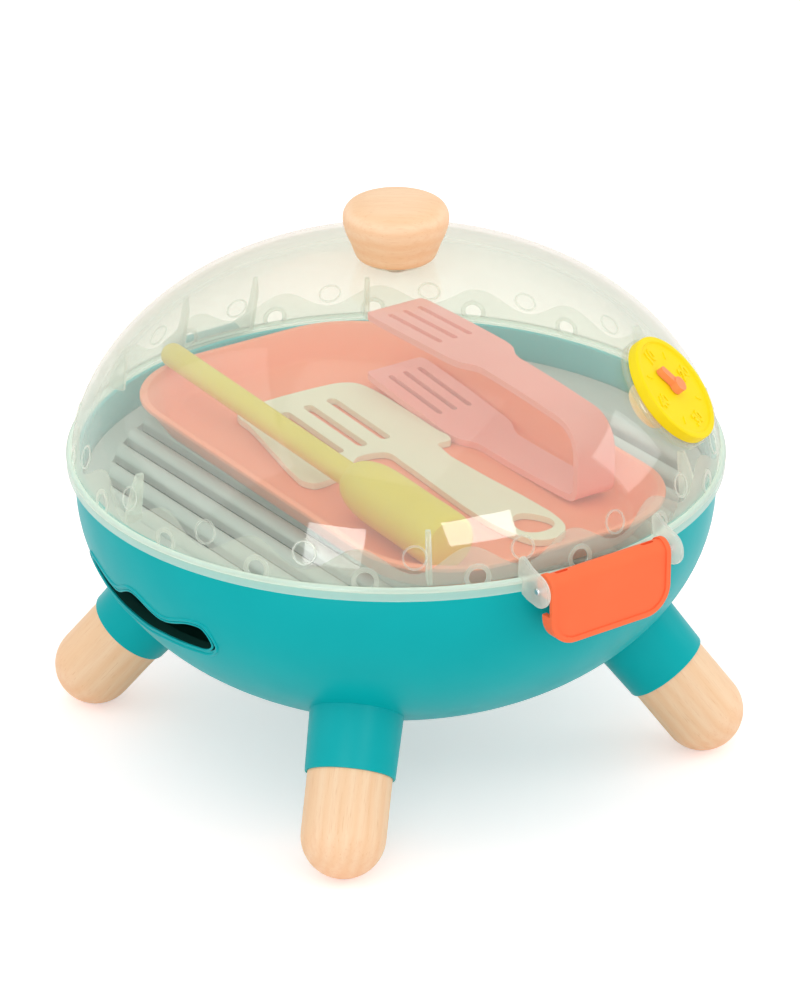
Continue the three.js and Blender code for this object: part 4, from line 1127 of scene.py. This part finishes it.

# %% [markdown]
# ## The tongs
# The tongs are one springy strip bent double. Its side view is a line of even thickness. It is
# extruded across, then trimmed by the plan, in which the heads are wider and slotted. The bend
# follows both arms, and the piece is fixed to no body, so it stays as it is.

# %% Bend the tongs
TONGS = at(51.5, -92, 141.5) @ turn(-1.8)
TONGS_LENGTH, OPENING, STRIP = 173.0, 41.4, 3.5
LOWER_RISES = [(1, 0.149), (0.75, 0.07), (0.58, 0.012), (0.5, 0)]
UPPER_DROPS = [(0.5, 0), (0.58, 0.005), (0.75, 0.028), (1, 0.069)]
middle_line = [
    *[(run * TONGS_LENGTH, STRIP / 2 + rise * OPENING) for run, rise in LOWER_RISES],
    (60, 1.8), (30, 2.7), (12, 3.6),
    *arc(7.75, 10.05, 6, 255, 180, 4),
    *arc(16.75, 26.15, 15, 180, 100, 5),
    (30, 42.0), (60, 43.0),
    *[(run * TONGS_LENGTH, STRIP / 2 + (1 - drop) * OPENING) for run, drop in UPPER_DROPS],
]
middle_line = curved(middle_line, 5, False)
outer_line, inner_line = [], []
for i, point in enumerate(middle_line):
    before, after = middle_line[max(0, i - 1)], middle_line[min(len(middle_line) - 1, i + 1)]
    share = STRIP / 2 / math.dist(before, after)
    along, up = (before[1] - after[1]) * share, (after[0] - before[0]) * share
    outer_line.append((point[0] + along, point[1] + up))
    inner_line.append((point[0] - along, point[1] - up))
tongs = slab("tongs", outer_line + inner_line[::-1], -20, 20, "YZ")
HEAD_SHARES = [
    (0, 0.46), (0.2, 0.49), (0.75, 0.53), (0.96, 0.57), (1, 0.62), (1, 0.955), (0.9, 0.988),
    (0.7, 1),
]
head = [(11 + 6.5 * side, TONGS_LENGTH * run) for side, run in HEAD_SHARES]
side_line = [(11, -3), (11, 40), *curved([*head, (0, 173.6)], 5, False)]
plan = side_line + [(-x, y) for x, y in reversed(side_line[:-1])]
combined(tongs, slab("plan", plan, -5, 55), "INTERSECT")
for x in (-8.8, 0, 8.8):
    slit = slot_outline(x, 0.69 * TONGS_LENGTH, x, 0.94 * TONGS_LENGTH, 1.5)
    cut(tongs, slab("slit", slit, -5, 55))
rounded(tongs, 0.6, 2, 50)
placed(tongs, TONGS)
dressed(smoothed(tongs, 40, True), pink_pp, None, "pink", "tongs_lower_arm", "tongs_upper_arm")
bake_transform(tongs)

# %% [markdown]
# ## The basting brush
# A slim stick in a fat barrel. Both are turned on one axis, from the stick's round end on the
# tray's lip to the barrel's end on the floor of the tray.

# %% Turn the brush
brush_end, brush_heel = Vector((-40.2, 135.3, 161.5)), Vector((-48, -110, 156.0))
brush_axis = brush_heel - brush_end
BRUSH = at(*brush_end) @ brush_axis.to_track_quat("Z", "Y").to_matrix().to_4x4()
BARREL_RADIUS, BARREL_LENGTH, STICK_RADIUS = 14.5, 80, 6.2
barrel_start = brush_axis.length - BARREL_LENGTH
stick_end = barrel_start + 15
stick_side = [*arc(0, 0, STICK_RADIUS, -90, 0, 10), (STICK_RADIUS, stick_end - 0.4)]
stick = turned("brush_stick", [*stick_side, (5.8, stick_end), (0, stick_end)], 48)
BARREL_SHARES = [
    (0.6, 0), (0.7, 0.02), (0.82, 0.07), (0.93, 0.15), (0.985, 0.24), (1, 0.34), (1, 0.65),
    (1, 0.94), (0.96, 0.98), (0.86, 1),
]
barrel_side = [(BARREL_RADIUS * r, barrel_start + BARREL_LENGTH * run) for r, run in BARREL_SHARES]
barrel_profile = [
    (6.5, barrel_start), *curved(barrel_side, 4, False), (0, barrel_start + BARREL_LENGTH),
    (0, stick_end + 0.3), (6.5, stick_end + 0.3), (6.5, barrel_start),
]
barrel = turned("brush_barrel", barrel_profile, 80)
dressed(smoothed(placed(stick, BRUSH), 40), olive_pp, "brush", "olive_yellow", "brush_stick")
dressed(smoothed(placed(barrel, BRUSH), 40), olive_pp, "brush", "olive_yellow", "brush_barrel")

# %% [markdown]
# ## The studio
# The toy stands on a white floor. The floor is white where the camera or a reflection sees it
# and keeps a soft shadow. Three large lamps light the toy. Two small cards are seen as bright
# windows low on the dome, and a stack of growing cards as a soft veil on its left.

# %% Floor, lamps and world
WHITE = (1, 1, 1, 1)


def seen_directly(tree):
    """One for what the camera, a mirror or a clear wall sees, and zero for light that falls."""
    path = add(tree, "LightPath").outputs
    mirrored_too = maths(tree, "MAXIMUM", path["Is Camera Ray"], path["Is Glossy Ray"])
    return maths(tree, "MAXIMUM", mirrored_too, path["Is Transmission Ray"])


def white_floor():
    finish, tree, shader = new_finish("white_paper")
    spot = add(tree, "TexCoord").outputs["Object"]
    fibres = add(tree, "Bump", {"Height": clouds(tree, spot, 3, 3.0), "Strength": 0.02})
    looks = {
        "Normal": fibres.outputs["Normal"],
        "Emission Strength": maths(tree, "MULTIPLY", seen_directly(tree), 0.4),
        "Emission Color": WHITE,
        "Base Color": linear("#FFEFED"),
        "Roughness": 0.9,
        "Specular IOR Level": 0.0,
    }
    feed(tree, shader, looks)
    return finish


clear_selection()
bpy.ops.mesh.primitive_circle_add(vertices=96, radius=6, fill_type="NGON", location=(0, 0, -0.0003))
floor = bpy.context.object
floor.name = "studio_floor"
floor.data.materials.append(white_floor())
floor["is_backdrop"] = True

world = bpy.data.worlds.new("studio_air")
bpy.context.scene.world = world
world.use_nodes = True
air = world.node_tree
strength = spread(air, seen_directly(air), 0.84, 1.0)
feed(air, air.nodes["Background"], {"Strength": strength, "Color": WHITE})
VEIL_CARDS = 5


def lamp(name, place, target, width, height, watts):
    light = bpy.data.lights.new(name, "AREA")
    light.shape = "RECTANGLE"
    light.size, light.size_y, light.energy = width, height, watts
    holder = bpy.data.objects.new(name, light)
    bpy.context.scene.collection.objects.link(holder)
    holder.location = Vector(place)
    aim = Vector(place) - Vector(target)
    holder.rotation_euler = aim.to_track_quat("Z", "Y").to_euler()
    return holder


TOY = (0, 0, 0.12)
lamp("overhead", (-0.3, -0.2, 1.8), TOY, 1.6, 1.6, 4)
lamp("left_front", (-1.5, -1.6, 1.0), TOY, 0.9, 0.9, 6).visible_glossy = False
lamp("right_fill", (1.9, -1.0, 1.0), TOY, 0.9, 0.9, 6.5)
cards = [
    ("left_card", (-1.34, -0.9, 0.51), (-0.113, -0.1, 0.17), 0.55, 0.8, 10),
    ("front_card", (-0.18, -1.51, 0.77), (-0.062, -0.139, 0.172), 0.65, 0.42, 6),
]
for i in range(VEIL_CARDS):
    wide, tall = 2.5 * (i + 1) / VEIL_CARDS, 2.0 * (i + 1) / VEIL_CARDS
    watts = 2.2 * wide * tall
    cards.append((f"veil_card_{i}", (-1.4, 1.19, 1.49), (-0.1, 0, 0.2), wide, tall, watts))
for card in cards:
    lamp(*card).visible_diffuse = False

# %% [markdown]
# The camera stands where the photographer stood: 36 degrees to the left of the front and 26
# degrees above the floor, with a long lens.

# %% Camera
AZIMUTH, ELEVATION, DISTANCE = math.radians(-35.74), math.radians(25.67), 2.414
level = math.cos(ELEVATION)
back = Vector((math.sin(AZIMUTH) * level, -math.cos(AZIMUTH) * level, math.sin(ELEVATION)))
right = Vector((math.cos(AZIMUTH), math.sin(AZIMUTH), 0))
view = bpy.data.cameras.new("photo_view")
view.sensor_width, view.lens = 36, 177.75
camera = bpy.data.objects.new("photo_view", view)
bpy.context.scene.collection.objects.link(camera)
camera.location = right * 0.00194 + Vector((0, 0, 0.12255)) + back * DISTANCE
camera.rotation_euler = back.to_track_quat("Z", "Y").to_euler()
bpy.context.scene.camera = camera
bpy.context.scene.view_settings.view_transform = "Standard"

# %% [markdown]
# ## The size
# The finished pieces must stay inside the CAD model's box; the box round the shown pieces, floor
# left out, is printed.

# %% Finish
clear_selection()
low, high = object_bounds()
print("visual box in mm:", [round(v * 1000, 1) for v in (*low, *high)])
